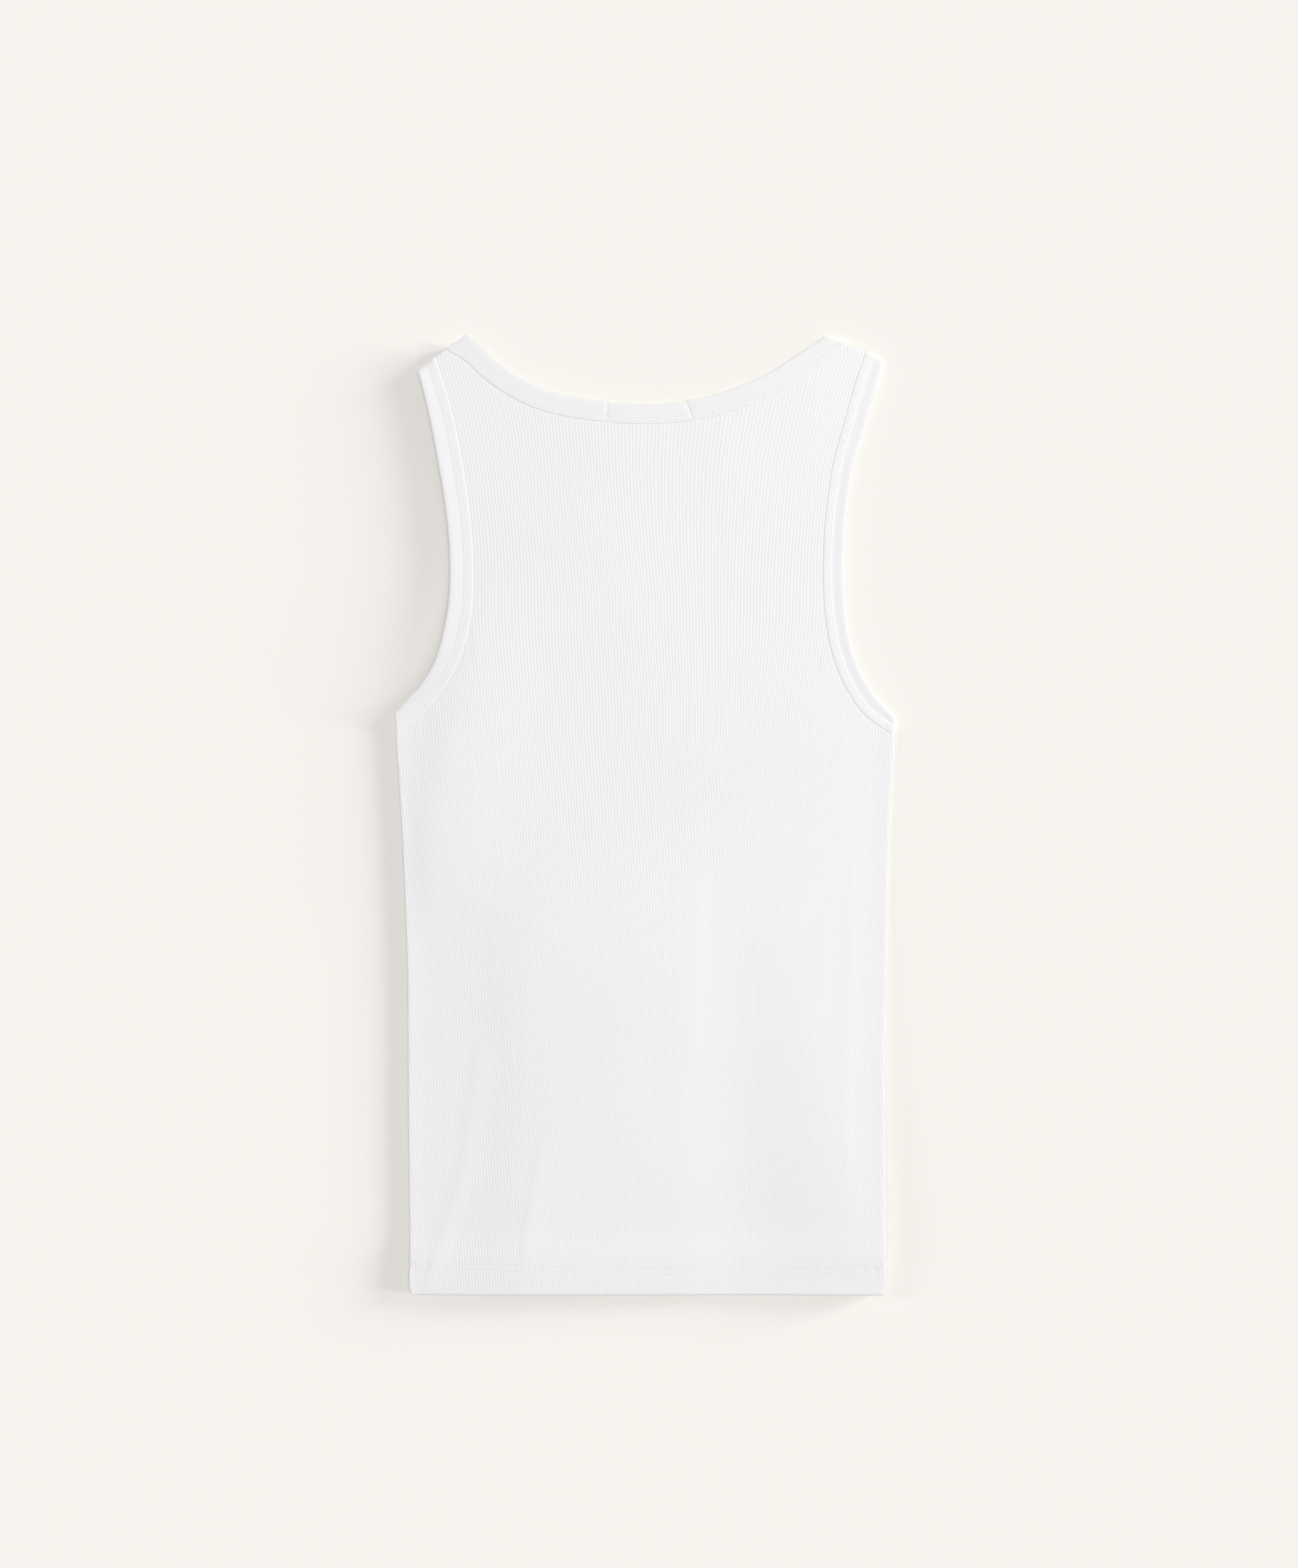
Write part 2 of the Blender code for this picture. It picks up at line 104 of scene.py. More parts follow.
BACK_ARMS = {
    # free edge x, height, sewn edge x, height, from the shoulder down to the underarm
    "left": (
        (-155.9, 633.4, -143.6, 643.4), (-153.0, 623.7, -138.1, 626.8),
        (-147.8, 601.1, -131.6, 604.2), (-142.4, 572.8, -125.9, 575.9),
        (-137.3, 541.5, -120.9, 543.5), (-134.4, 510.6, -118.0, 511.6),
        (-134.7, 481.0, -118.0, 480.0), (-138.0, 459.2, -121.4, 455.8),
        (-143.5, 438.6, -129.0, 433.0), (-153.2, 420.6, -140.4, 412.9),
        (-163.0, 409.6, -152.9, 399.4), (-170.0, 401.6, -168.9, 386.2),
    ),
    "right": (
        (164.0, 639.1, 151.8, 647.6), (159.9, 622.2, 144.6, 626.3), (154.8, 604.4, 139.6, 608.6),
        (149.0, 585.7, 134.2, 589.6), (143.8, 568.7, 129.6, 571.8), (140.7, 549.2, 126.4, 551.4),
        (138.6, 531.2, 124.2, 532.2), (137.5, 510.6, 123.0, 510.6), (137.5, 495.0, 122.8, 495.0),
        (137.8, 480.8, 123.2, 480.0), (139.4, 463.5, 125.2, 460.0), (143.3, 443.8, 129.8, 438.6),
        (149.9, 426.8, 137.4, 419.6), (157.6, 413.9, 146.7, 404.6), (164.3, 405.4, 156.4, 394.6),
        (170.2, 398.6, 169.5, 386.2),
    ),
}
FRONT_NECK_DROP = 128.0   # the front neckline, below the neck end of the shoulders
FRONT_NECK_POWER = 2.6    # its squareness: 2 is a parabola
FRONT_ARM_INSET = 6.0     # how much deeper the front armholes are cut
BAND_WIDTH = 14.4         # neck binding
OUTWARD = {"left": (-0.53, 0.85), "right": (0.37, 0.93)}   # away from the shoulder fold, in plan
print(len(SIDES), "rows for the sides and", len(BACK_NECK), "for the back neckline")


# %% Curves through the tables
def smooth_step(value):
    value = np.clip(value, 0.0, 1.0)
    return value * value * (3.0 - 2.0 * value)


def curve_through(rows, steps):
    """A smooth curve through the rows of a table, in equal steps between rows."""
    rows = np.array(rows, dtype=float)
    place_along = np.arange((len(rows) - 1) * steps + 1) / steps
    index = np.minimum(place_along.astype(int), len(rows) - 2)
    t = (place_along - index)[:, None]
    a, b = rows[np.maximum(index - 1, 0)], rows[index]
    c, d = rows[index + 1], rows[np.minimum(index + 2, len(rows) - 1)]
    return 0.5 * (2 * b + (c - a) * t + (2 * a - 5 * b + 4 * c - d) * t ** 2
                  + (3 * b - a - 3 * c + d) * t ** 3)


print("half-way up the sides:", curve_through(SIDES, 2)[len(SIDES) - 1].round(1))

# %% Edges of the bindings
SIDE_STEPS = 8            # points of a side between two rows of its table
NECK_STEPS = 48           # rings of the neck binding between two rows of its table
ARM_STEPS = {"left": 26, "right": 19}


def neck_sections(panel):
    """Edges of the neck binding on one panel: columns free x, free height, sewn x, height."""
    back = curve_through(BACK_NECK, NECK_STEPS)
    if panel == BACK:
        return back
    share = 0.5 - 0.5 * np.cos(np.linspace(0.0, math.pi, len(back) + NECK_STEPS))[:, None]
    fall = 1.0 - np.abs(2.0 * share - 1.0) ** FRONT_NECK_POWER
    straight = back[:1] + (back[-1:] - back[:1]) * share
    width_left = BAND_WIDTH - (straight[:, 1:2] - straight[:, 3:4])
    drop = np.hstack([0 * fall, FRONT_NECK_DROP * fall,
                      0 * fall, (FRONT_NECK_DROP + width_left) * fall])
    return straight - drop


def arm_sections(panel, name):
    """Edges of an armhole binding on one panel, from the shoulder down to the underarm."""
    sections = curve_through(BACK_ARMS[name], ARM_STEPS[name])
    if panel == FRONT:
        inward = FRONT_ARM_INSET if name == "left" else -FRONT_ARM_INSET
        shift = inward * np.sin(np.linspace(0.0, math.pi, len(sections)))
        sections[:, 0] += shift
        sections[:, 2] += shift
    return sections


def cut_edge(sections):
    """Where the panel is cut: a little inside the binding that will cover its edge."""
    free, sewn = sections[:, :2], sections[:, 2:]
    width = np.linalg.norm(free - sewn, axis=1, keepdims=True)
    return sewn + (free - sewn) * UNDERLAP / width


print("the front neckline ends at", round(float(neck_sections(FRONT)[:, 1].min()), 1), "mm")

# %% Edges of the panels
SIDE_CURVE = curve_through(SIDES, SIDE_STEPS)
ARM_CUTS = {(panel, name): cut_edge(arm_sections(panel, name))[::-1]
            for panel in (BACK, FRONT) for name in ("left", "right")}
TOP_CUTS = {panel: np.vstack([ARM_CUTS[panel, "left"][-1:], cut_edge(neck_sections(panel)),
                              ARM_CUTS[panel, "right"][-1:]]) for panel in (BACK, FRONT)}


def side_x(name, height):
    column = 1 if name == "left" else 2
    return np.interp(height, SIDE_CURVE[:, 0], SIDE_CURVE[:, column])


def arm_x(panel, name, height):
    edge = ARM_CUTS[panel, name]
    return np.interp(height, edge[:, 1], edge[:, 0])


def top_height(panel, x):
    return np.interp(x, TOP_CUTS[panel][:, 0], TOP_CUTS[panel][:, 1])


print("chest", round(float(side_x("right", UNDERARM) - side_x("left", UNDERARM)), 1), "mm across")

# %% [markdown]
# ## How the cloth lies
#
# Laid cloth is never quite flat. The garment is a little thicker in the middle than at its sides,
# and shallow folds run up from the hem where it was last pulled straight. They are one to three
# millimetres high, so they are listed one by one: each row is a line, how far the fold spreads to
# its left and to its right, and how high it is. Uneven rows look like cloth, and even ones look
# like corrugated iron. The front's own creases follow the same rule, on the side that nobody sees.
# Near the lower right corner the back panel stands up by some millimetres, and the front leaves
# the table with it, as happens where a corner was laid down last. The heavier hem sinks back
# towards the table.

# %% Folds and creases
CROWN = 2.5               # how much higher the middle of the garment lies than its sides
CROWN_FROM, CROWN_TO = 0.0, 110.0   # heights between which that sets in
FOLDS = (
    # from x, height, to x, height, spread to the left, to the right, rise; each runs upwards
    (-78.0, -60.0, -76.0, 330.0, 34.0, 84.0, 2.9),
    (24.0, -60.0, 10.0, 330.0, 90.0, 34.0, 1.9),
    (-154.0, 230.0, -101.0, 510.0, 28.0, 40.0, 2.8),
    (-100.0, -60.0, -96.0, 110.0, 40.0, 50.0, 1.4),
    (-60.0, 420.0, -40.0, 560.0, 60.0, 60.0, 0.7),
    (-96.0, -30.0, -84.0, 70.0, 34.0, 26.0, 0.6),
    (-155.0, -8.0, -115.0, 114.0, 3.4, 7.0, 0.9),
    (-127.0, 80.0, -110.0, 176.0, 4.5, 9.0, 0.6),
    (-86.0, 14.0, -68.0, 112.0, 3.4, 7.0, 0.7),
    (138.0, 40.0, 142.0, 330.0, 5.0, 5.0, 0.3),
    (-146.0, 350.0, -128.0, 400.0, 9.0, 8.0, 0.5),
    (32.0, 110.0, 36.0, 350.0, 14.0, 7.0, 0.42),
)
PRESSED_RIBS = (
    # the same columns, but the last is the share of their height that the ribs lose there
    (-152.0, 0.0, -116.0, 110.0, 3.7, 4.5, 0.85), (-127.0, 84.0, -111.0, 172.0, 5.0, 7.0, 0.6),
    (-84.0, 20.0, -69.0, 104.0, 3.2, 4.0, 0.75), (-20.0, -60.0, 0.0, 330.0, 80.0, 80.0, 0.2),
    (112.0, -120.0, 122.0, 470.0, 52.0, 90.0, 0.5), (34.0, -60.0, 36.0, 330.0, 12.0, 14.0, 0.45),
    (-180.0, -60.0, -164.0, 380.0, 20.0, 30.0, 0.3),
)
CORNER_STAND = 8.3        # how far the back panel stands up near the lower right corner
STAND_FROM, STAND_TOP = 56.0, 300.0   # x where it starts at any height, and where it ends
STAND_REACH, REACH_LOSS, REACH_LEAST = 110.0, 0.25, 45.0   # its width: less further up
LIFTED = 0.5              # share of it by which the front leaves the table too
HEM_SINK, SINK_FROM = 0.56, 50.0    # share of it lost at the hem, and where that sets in
FRONT_CREASES = (
    # the same for the front, which lifts off the table along them
    (-84.0, 30.0, -40.0, 250.0, 16.0, 24.0, 0.7), (46.0, 60.0, 20.0, 330.0, 22.0, 12.0, 0.9),
    (96.0, 120.0, 108.0, 300.0, 10.0, 18.0, 0.5), (-20.0, 300.0, 34.0, 440.0, 18.0, 14.0, 0.6),
)
print(len(FOLDS), "folds and creases on the back,", len(FRONT_CREASES), "on the front")


# %% Rise of the cloth
def line_frame(x, height, from_x, from_h, to_x, to_h):
    """Place along a line, from 0 to 1, and distance across it."""
    along_x, along_h = to_x - from_x, to_h - from_h
    length = math.hypot(along_x, along_h)
    along = ((x - from_x) * along_x + (height - from_h) * along_h) / length ** 2
    across = ((x - from_x) * along_h - (height - from_h) * along_x) / length
    return along, across


def fold_rise(x, height, folds=FOLDS):
    """Rise of a panel over its soft folds and creases."""
    rise = np.zeros(np.broadcast(x, height).shape)
    for from_x, from_h, to_x, to_h, left, right, top in folds:
        along, across = line_frame(x, height, from_x, from_h, to_x, to_h)
        ends = smooth_step(along / FOLD_END) * smooth_step((1.0 - along) / FOLD_END)
        spread_to = np.where(across < 0.0, left, right)
        rise = rise + top * ends * np.exp(-(across / spread_to) ** 2)
    return rise


def stand(x, height):
    """How far the back panel stands up towards the lower right corner."""
    reach = np.maximum(STAND_REACH - REACH_LOSS * height, REACH_LEAST)
    fade = smooth_step(1.0 - height / STAND_TOP)
    rise = CORNER_STAND * smooth_step((x - STAND_FROM) / reach) * fade
    return rise * (1.0 - HEM_SINK * smooth_step(1.0 - height / SINK_FROM))


print("the corner stands up by", round(float(stand(SIDES[3][2], SIDES[3][0])), 1), "mm")


# %% Space between the panels
def half_gap(x, height):
    """Half of the space between the panels: each panel keeps this far from their middle."""
    level = np.minimum(height, UNDERARM)
    left, right = side_x("left", level), side_x("right", level)
    inside = np.minimum(x - left, right - x)
    from_side = np.hypot(np.maximum(inside, 0.0), height - level)
    side = np.exp(-(from_side / SIDE_ROUND) ** 2)
    hem = 1.0 - smooth_step((height - HEM_LAYERS[0]) / (HEM_LAYERS[1] - HEM_LAYERS[0]))
    gap = REST_GAP + (SIDE_GAP - REST_GAP) * side * (1.0 - hem) + (HEM_GAP - REST_GAP) * hem
    middle = 1.0 - (2.0 * (x - left) / (right - left) - 1.0) ** 2
    crown = CROWN * np.clip(middle, 0.0, 1.0)
    crown = crown * smooth_step((height - CROWN_FROM) / (CROWN_TO - CROWN_FROM))
    open_end = (1.0 - LIFTED) * stand(x, height)
    return 0.5 * (gap + (fold_rise(x, height) + crown) * (1.0 - side) + open_end)


def front_lift(x, height):
    return fold_rise(x, height, FRONT_CREASES)


def place(x, height, half, offset, panel, turn=0.0, outward=(0.0, 0.0)):
    """Points at a distance from the middle of the gap, turned round a fold, in metres."""
    radius = half + offset
    reach = radius * np.sin(turn) ** FOLD_POWER
    rise = np.sign(np.cos(turn)) * np.abs(np.cos(turn)) ** FOLD_POWER
    z = WALL + half + panel * radius * rise + LIFTED * stand(x, height)
    x, y = x + outward[0] * reach, height + outward[1] * reach - LENGTH / 2
    return np.stack(np.broadcast_arrays(x, y, z), axis=-1) * MM


print("highest fold", round(float(2 * half_gap(-10.0, 120.0)), 2), "mm between the panels")

# %% [markdown]
# ## Where each rib runs
#
# A rib is one column of knitted stitches, a wale, and 170 of them stand side by side at every
# height. Jersey and rib tubes twist a little when they are washed, so the wales don't run straight
# up: they lean to the left on the back, leave it round the left side fold and come in again round
# the right one. Near the armholes some end at the cut, and the rest fan out over the straps.
#
# A place number counts wales from the left fold at one height, and a fraction lies between two
# ribs. The two tables below shift the wales from their even places by some millimetres. They are
# what makes the knit look handled, because pulled cloth never keeps its ribs parallel.

# %% Shifts of the wales
TWIST = 16                # wales that leave over one side fold between the hem and the underarm
SHARES = (0.0, 0.15, 0.3, 0.45, 0.6, 0.75, 0.9, 1.0)   # places across, for the tables' columns
SHIFT_STEPS = (8, 6)      # points between two rows of these tables, and between two columns
BODY_SHIFTS = (
    # height, shift to the right at each share of the width
    (0.0, 0.0, 6.0, 8.0, 5.0, -3.0, -8.0, -6.0, 0.0),
    (110.0, 0.0, 6.0, 8.0, 5.0, -3.0, -8.0, -5.0, 0.0),
    (200.0, 0.0, 4.0, 5.0, 3.5, -2.0, -5.0, -3.0, 0.0),
    (300.0, 0.0, 1.0, 1.5, 1.5, 0.0, -1.0, 1.0, 0.0),
    (390.0, 0.0, 2.0, 4.0, 4.0, 0.0, -4.0, -3.0, 0.0),
    (480.0, 0.0, 2.0, 4.0, 4.0, 0.0, -4.0, -3.0, 0.0),
)
TOP_SHIFTS = (
    # the same between the armholes
    (386.0, 0.0, 2.5, 5.0, 4.0, 0.5, -3.0, -2.5, 0.0),
    (450.0, 0.0, 2.5, 4.0, 2.0, -0.5, -3.0, -2.5, 0.0),
    (526.0, 0.0, 0.0, -2.0, -5.0, -4.5, -1.0, 0.7, 0.0),
    (598.0, 0.0, -2.5, -5.5, -8.5, -5.5, 0.0, 1.8, 0.0),
    (640.0, 0.0, -5.5, -8.0, -9.0, -4.0, 2.0, 3.0, 0.0),
    (660.0, 0.0, -6.5, -8.5, -9.0, -4.0, 2.5, 3.2, 0.0),
)


def shift_by(rows, share, height):
    """Shift in millimetres from a table, smooth across and up."""
    fine = curve_through(rows, SHIFT_STEPS[0])
    columns = curve_through(np.column_stack([SHARES, fine[:, 1:].T]), SHIFT_STEPS[1])
    across = np.clip(share, 0.0, 1.0)
    level = np.interp(height, fine[:, 0], np.arange(len(fine)))
    place_x = np.interp(across, columns[:, 0], np.arange(len(columns)))
    i = np.minimum(level.astype(int), len(fine) - 2)
    j = np.minimum(place_x.astype(int), len(columns) - 2)
    up, side = level - i, place_x - j
    table = columns[:, 1:]
    low = table[j, i] * (1.0 - side) + table[j + 1, i] * side
    high = table[j, i + 1] * (1.0 - side) + table[j + 1, i + 1] * side
    return low * (1.0 - up) + high * up


def twist(panel, height):
    """Wales that have left over the left fold, up to a height; on the front they enter."""
    return panel * TWIST * np.clip(height / UNDERARM, 0.0, 1.0)


print("the middle rib leans by", round(float(shift_by(BODY_SHIFTS, 0.5, 300.0)
                                             - shift_by(BODY_SHIFTS, 0.5, 100.0)), 1), "mm more")


# %% Paths of the wales
def spread(share, squeeze):
    """Wales that stand closer together at the edges than in the middle."""
    return share - squeeze * np.sin(2.0 * math.pi * share) / (2.0 * math.pi)


def in_body(wale, height):
    left, right = side_x("left", height), side_x("right", height)
    share = wale / WALE_COUNT
    even = left + (right - left) * spread(share, SIDE_SQUEEZE)
    return even + shift_by(BODY_SHIFTS, share, height)


def in_top(panel, wale, height):
    first, last = WALES[panel]
    left, right = arm_x(panel, "left", height), arm_x(panel, "right", height)
    share = (wale - first) / (last - first)
    return left + (right - left) * share + shift_by(TOP_SHIFTS, share, height)


def wale_x(panel, wale, height):
    """Where a place number lies at a height: between the sides below, the armholes above."""
    passing = np.clip(wale, *WALES[panel])
    below = np.minimum(height, ARM_FREE)
    blend = smooth_step((height - UNDERARM) / (ARM_FREE - UNDERARM))
    x = in_body(passing, below) * (1.0 - blend)
    x = x + in_top(panel, passing, np.maximum(height, ARM_FREE)) * blend
    return x + in_body(wale, below) - in_body(passing, below)


HALVINGS = 40             # steps of a search; each one halves what is left


def crossing(inside, low, high):
    """The last heights that are inside, found by halving."""
    for _ in range(HALVINGS):
        middle = 0.5 * (low + high)
        keep = inside(middle)
        low, high = np.where(keep, middle, low), np.where(keep, high, middle)
    return low


def wale_ends(panel, wales):
    """The height where each wale is cut."""
    first, last = WALES[panel]
    low, high = np.full(len(wales), UNDERARM), np.full(len(wales), ARM_FREE)
    x_of = lambda heights: wale_x(panel, wales, heights)
    ends_left = crossing(lambda h: x_of(h) > arm_x(panel, "left", h), low, high)
    ends_right = crossing(lambda h: x_of(h) < arm_x(panel, "right", h), low, high)
    ends_top = crossing(lambda h: h < top_height(panel, x_of(h)), high, np.full(len(wales), LENGTH))
    foot = min(ARM_CUTS[panel, "left"][0, 1], ARM_CUTS[panel, "right"][0, 1])
    ends_side = np.maximum(np.where(wales < WALE_COUNT / 2, ends_left, ends_right), foot)
    return np.where((wales >= first) & (wales <= last), ends_top, ends_side)


print("middle rib ends at", round(float(wale_ends(BACK, np.array([85.0]))[0]), 1), "mm")

# %% [markdown]
# ## A panel as a grid
#
# The outer face is a grid: one column of points for each few tenths of a rib, and rows from the
# hem to the cut edge. Below the underarm the rows are level. Above it they slope so that every
# column has the same number, and the faces stay four-sided all the way into the curve of the
# armhole. Near the hem's stitch line and near each cut edge the rows stand closer together,
# because the ribs change height there within a millimetre or two. At the sides the columns go on
# round the fold, and at the shoulders the rows do.

# %% Rows and columns of a panel
RIB_STEPS = (0.0, 0.3, 0.5, 0.7)      # columns within a rib: crest, slope, furrow, slope
SIDE_FIRST, SIDE_FLAT, SIDE_CLEAR = -0.75, 1.0, 3.0   # wales at a side's fold, flat, unmoved
HEM_LINE = (
    # x, height of the middle of the hem's two rows of stitches
    (-160.0, 19.5), (-103.0, 18.3), (-62.0, 17.1), (0.0, 15.5),
    (50.0, 14.4), (110.0, 15.5), (165.0, 16.8),
)
HEM_ROW = 1.75            # distance of each row of stitches from that middle
HEM_GROOVE = 0.19         # how deep a row pulls the cloth in, at most
PULLS = (
    # x, height, depth, radius: places where the hem's thread is tied off or pulls
    (-158.6, 19.5, 0.5, 1.8), (158.2, 17.0, 0.45, 1.6), (-8.2, 22.1, 0.22, 0.8),
    (-149.0, 20.4, 0.2, 2.2), (149.5, 18.0, 0.18, 2.0),
)
HEM_CLOSE = (-3.4, -2.6, -2.15, -1.75, -1.35, -0.9, 0.0, 0.9, 1.35, 1.75, 2.15, 2.6, 3.4, 4.6)
HEM_SEAM = 17.0           # about the height of the hem's stitches, where a side is looked up
HEM_FOLD = 1.2            # radius of the fold along the hem
FOLD_ROW = 0.4            # first row above that fold
TO_SEAM, TO_LEVEL = (0.25, 0.5, 0.75), (0.33, 0.66)   # rows below and above the close ones
HEM_MIDDLE = -0.1         # middle of the folded thickness, from the wall's inner face
HEM_TOP = 32.0            # level rows begin here
BODY_ROW = 7.4            # distance between level rows
HEM_TURNS = np.radians((90.0, 67.0, 45.0, 22.0, 0.0))   # rows round the hem's fold
CUT_CLOSE = (9.0, 6.5, 5.0, 4.2, 3.6, 3.0, 2.5, 1.3, 0.0)   # rows before a cut edge
ARM_ROWS, TOP_ROWS = 8, 20            # rows between the underarm, ARM_FREE and a cut edge
TURNS = np.radians((30.0, 60.0, 90.0))   # rows round the fold at the shoulders
CUT_FACE = (0.8, 0.5, 0.15)           # and down a cut edge, as shares of the cloth's height
print(len(HEM_CLOSE), "rows close to the hem's stitches and", len(CUT_CLOSE), "at a cut edge")


# %% Columns of a panel
def hem_line(x):
    table = np.array(HEM_LINE)
    return np.interp(x, table[:, 0], table[:, 1])


def wales_of(panel, steps):
    """Wale numbers of all columns of a panel, with those of its edges beside the armholes."""
    low, high = sorted((0, panel * TWIST))
    inner = [wale + step for wale in range(low - 2, WALE_COUNT + high + 2) for step in steps]
    edges = np.array(WALES[panel]) + twist(panel, UNDERARM)
    return np.unique(np.concatenate([inner, edges]))


def local_wales(panel, wales, heights):
    """Place numbers of all points, and the first and last column within the side folds."""
    local = wales[:, None] - twist(panel, heights)
    reach = 0.5 * np.diff(wales).max()
    low, high = SIDE_FIRST, WALE_COUNT - SIDE_FIRST
    inside = (local > low - reach) & (local < high + reach)
    first = inside.argmax(axis=0)
    last = len(wales) - 1 - inside[::-1].argmax(axis=0)
    rows = np.arange(heights.shape[1])
    local[first, rows], local[last, rows] = low, high
    return local, first, last


def side_fold(wales):
    """How far each column has turned round a side fold, and in which direction."""
    from_left = (SIDE_FLAT - wales) / (SIDE_FLAT - SIDE_FIRST)
    from_right = (wales - (WALE_COUNT - SIDE_FLAT)) / (SIDE_FLAT - SIDE_FIRST)
    turn = np.clip(np.maximum(from_left, from_right), 0.0, 1.0) * math.pi / 2
    return turn, np.where(wales < WALE_COUNT / 2, -1.0, 1.0)


def column_x(panel, wales, height):
    """Centre line of each column: the wale's own path, moved in beside the side folds."""
    x = wale_x(panel, wales, height)
    level = np.minimum(height, UNDERARM)
    left, right = side_x("left", level), side_x("right", level)
    centre_left = left + half_gap(left, level) + WALL
    centre_right = right - half_gap(right, level) - WALL
    move_left = centre_left - in_body(SIDE_FLAT, level)
    move_right = centre_right - in_body(WALE_COUNT - SIDE_FLAT, level)
    reach = SIDE_CLEAR - SIDE_FLAT
    fade_left = 1.0 - smooth_step((wales - SIDE_FLAT) / reach)
    fade_right = 1.0 - smooth_step((WALE_COUNT - SIDE_FLAT - wales) / reach)
    x = x + move_left * fade_left + move_right * fade_right
    x = np.where(wales < SIDE_FLAT, centre_left, x)
    return np.where(wales > WALE_COUNT - SIDE_FLAT, centre_right, x)


print(len(wales_of(BACK, RIB_STEPS)), "columns on the outer face")

# %% Ribs that stray
WANDER = 0.13             # how far a rib strays from its smooth path
WANDER_WAVES = (45.0, 150.0)          # shortest and longest wave
WANDER_OVER, WANDER_CLEAR = 5.0, 0.6  # wales over which it sets in, after a share of them
SPARE = 5                 # ribs beyond each end that have waves too
FULL_TURN = 6.28          # near enough for waves that need not close
NEAR = 1e-6               # place numbers closer than this are the same


def wander(wales, height):
    """Each rib strays a little in its own slow waves, in millimetres."""
    chance = np.random.default_rng(5)
    count = WALE_COUNT + 2 * (TWIST + SPARE + 1)
    waves = [(chance.uniform(*WANDER_WAVES, count), chance.uniform(0.0, FULL_TURN, count))
             for _ in range(2)]
    number = np.clip(wales + TWIST + SPARE, 0.0, count - 2.0)
    rib = number.astype(int)
    share = number - rib
    total = 0.0
    for length, phase in waves:
        for near, weight in ((rib, 1.0 - share), (rib + 1, share)):
            total = total + weight * np.sin(FULL_TURN * height / length[near] + phase[near])
    return WANDER * 0.5 * total


print("a rib strays by up to", round(float(wander(np.arange(170.0), 100.0).max()), 2), "mm")


# %% Heights of the rows
def is_passing(panel, wales):
    """Which wales run on between the armholes."""
    place_number = wales - twist(panel, UNDERARM)
    return (place_number >= WALES[panel][0] - NEAR) & (place_number <= WALES[panel][1] + NEAR)


def row_heights(panel, wales, level_step):
    """Heights of the rows above the hem fold, one line for each column."""
    top_places = wales - twist(panel, UNDERARM)
    ends = wale_ends(panel, top_places)[:, None]
    passing = is_passing(panel, wales)[:, None]
    stitched = hem_line(column_x(panel, wales - twist(panel, HEM_SEAM), HEM_SEAM))[:, None]
    first, last = HEM_CLOSE[0], HEM_CLOSE[-1]
    hem = [stitched * 0 + HEM_FOLD + FOLD_ROW]
    hem += [hem[0] + (stitched + first - hem[0]) * share for share in TO_SEAM]
    hem += [stitched + step for step in HEM_CLOSE]
    hem += [stitched + last + (HEM_TOP - stitched - last) * share for share in TO_LEVEL]
    count = int(round((UNDERARM - HEM_TOP) / level_step))
    level = np.linspace(HEM_TOP, UNDERARM, count + 1)[None, :] + 0 * stitched
    tail = np.array(CUT_CLOSE)[None, :]
    room = np.minimum(1.0, (ends - UNDERARM) / (2.0 * tail[0, 0]))
    share = np.linspace(0.0, 1.0, ARM_ROWS + 1)[None, 1:-1]
    to_cut = UNDERARM + (ends - tail[0, 0] * room - UNDERARM) * share
    arm_cut = np.hstack([to_cut, ends - tail * room])
    arm_level = np.linspace(UNDERARM, ARM_FREE, arm_cut.shape[1] + 1)[None, 1:]
    arm = np.where(passing, arm_level, arm_cut)
    share = np.linspace(0.0, 1.0, TOP_ROWS + 1)[None, 1:-1]
    top = np.hstack([ARM_FREE + (ends - tail[0, 0] - ARM_FREE) * share, ends - tail])
    return np.hstack(hem + [level, arm, top]), len(hem) + level.shape[1] + arm.shape[1]


heights, shared_rows = row_heights(BACK, wales_of(BACK, RIB_STEPS), BODY_ROW)
print(heights.shape[1], "rows,", shared_rows, "of them below the armholes' upper part")


# %% Grid of points
GROOVE_REACH = 0.6        # how far from a row of stitches the cloth is pulled in
GROOVE_WAVES = ((0.25, 17.0, 1.0), (0.15, 5.3, 0.0))   # share, length and phase of its waves


def hem_groove(x, height):
    """How far the hem's two rows of stitches pull the cloth in, unevenly."""
    line = hem_line(x)
    rows = [np.exp(-((height - line - side * HEM_ROW) / GROOVE_REACH) ** 2) for side in (-1, 1)]
    strength = 1.0 - sum(share for share, _, _ in GROOVE_WAVES)
    for share, length, phase in GROOVE_WAVES:
        strength = strength + share * np.sin(x / length + phase)
    total = HEM_GROOVE * strength * (rows[0] + rows[1])
    for pull_x, pull_h, depth, radius in PULLS:
        total = total + depth * np.exp(-((x - pull_x) ** 2 + (height - pull_h) ** 2) / radius ** 2)
    return total


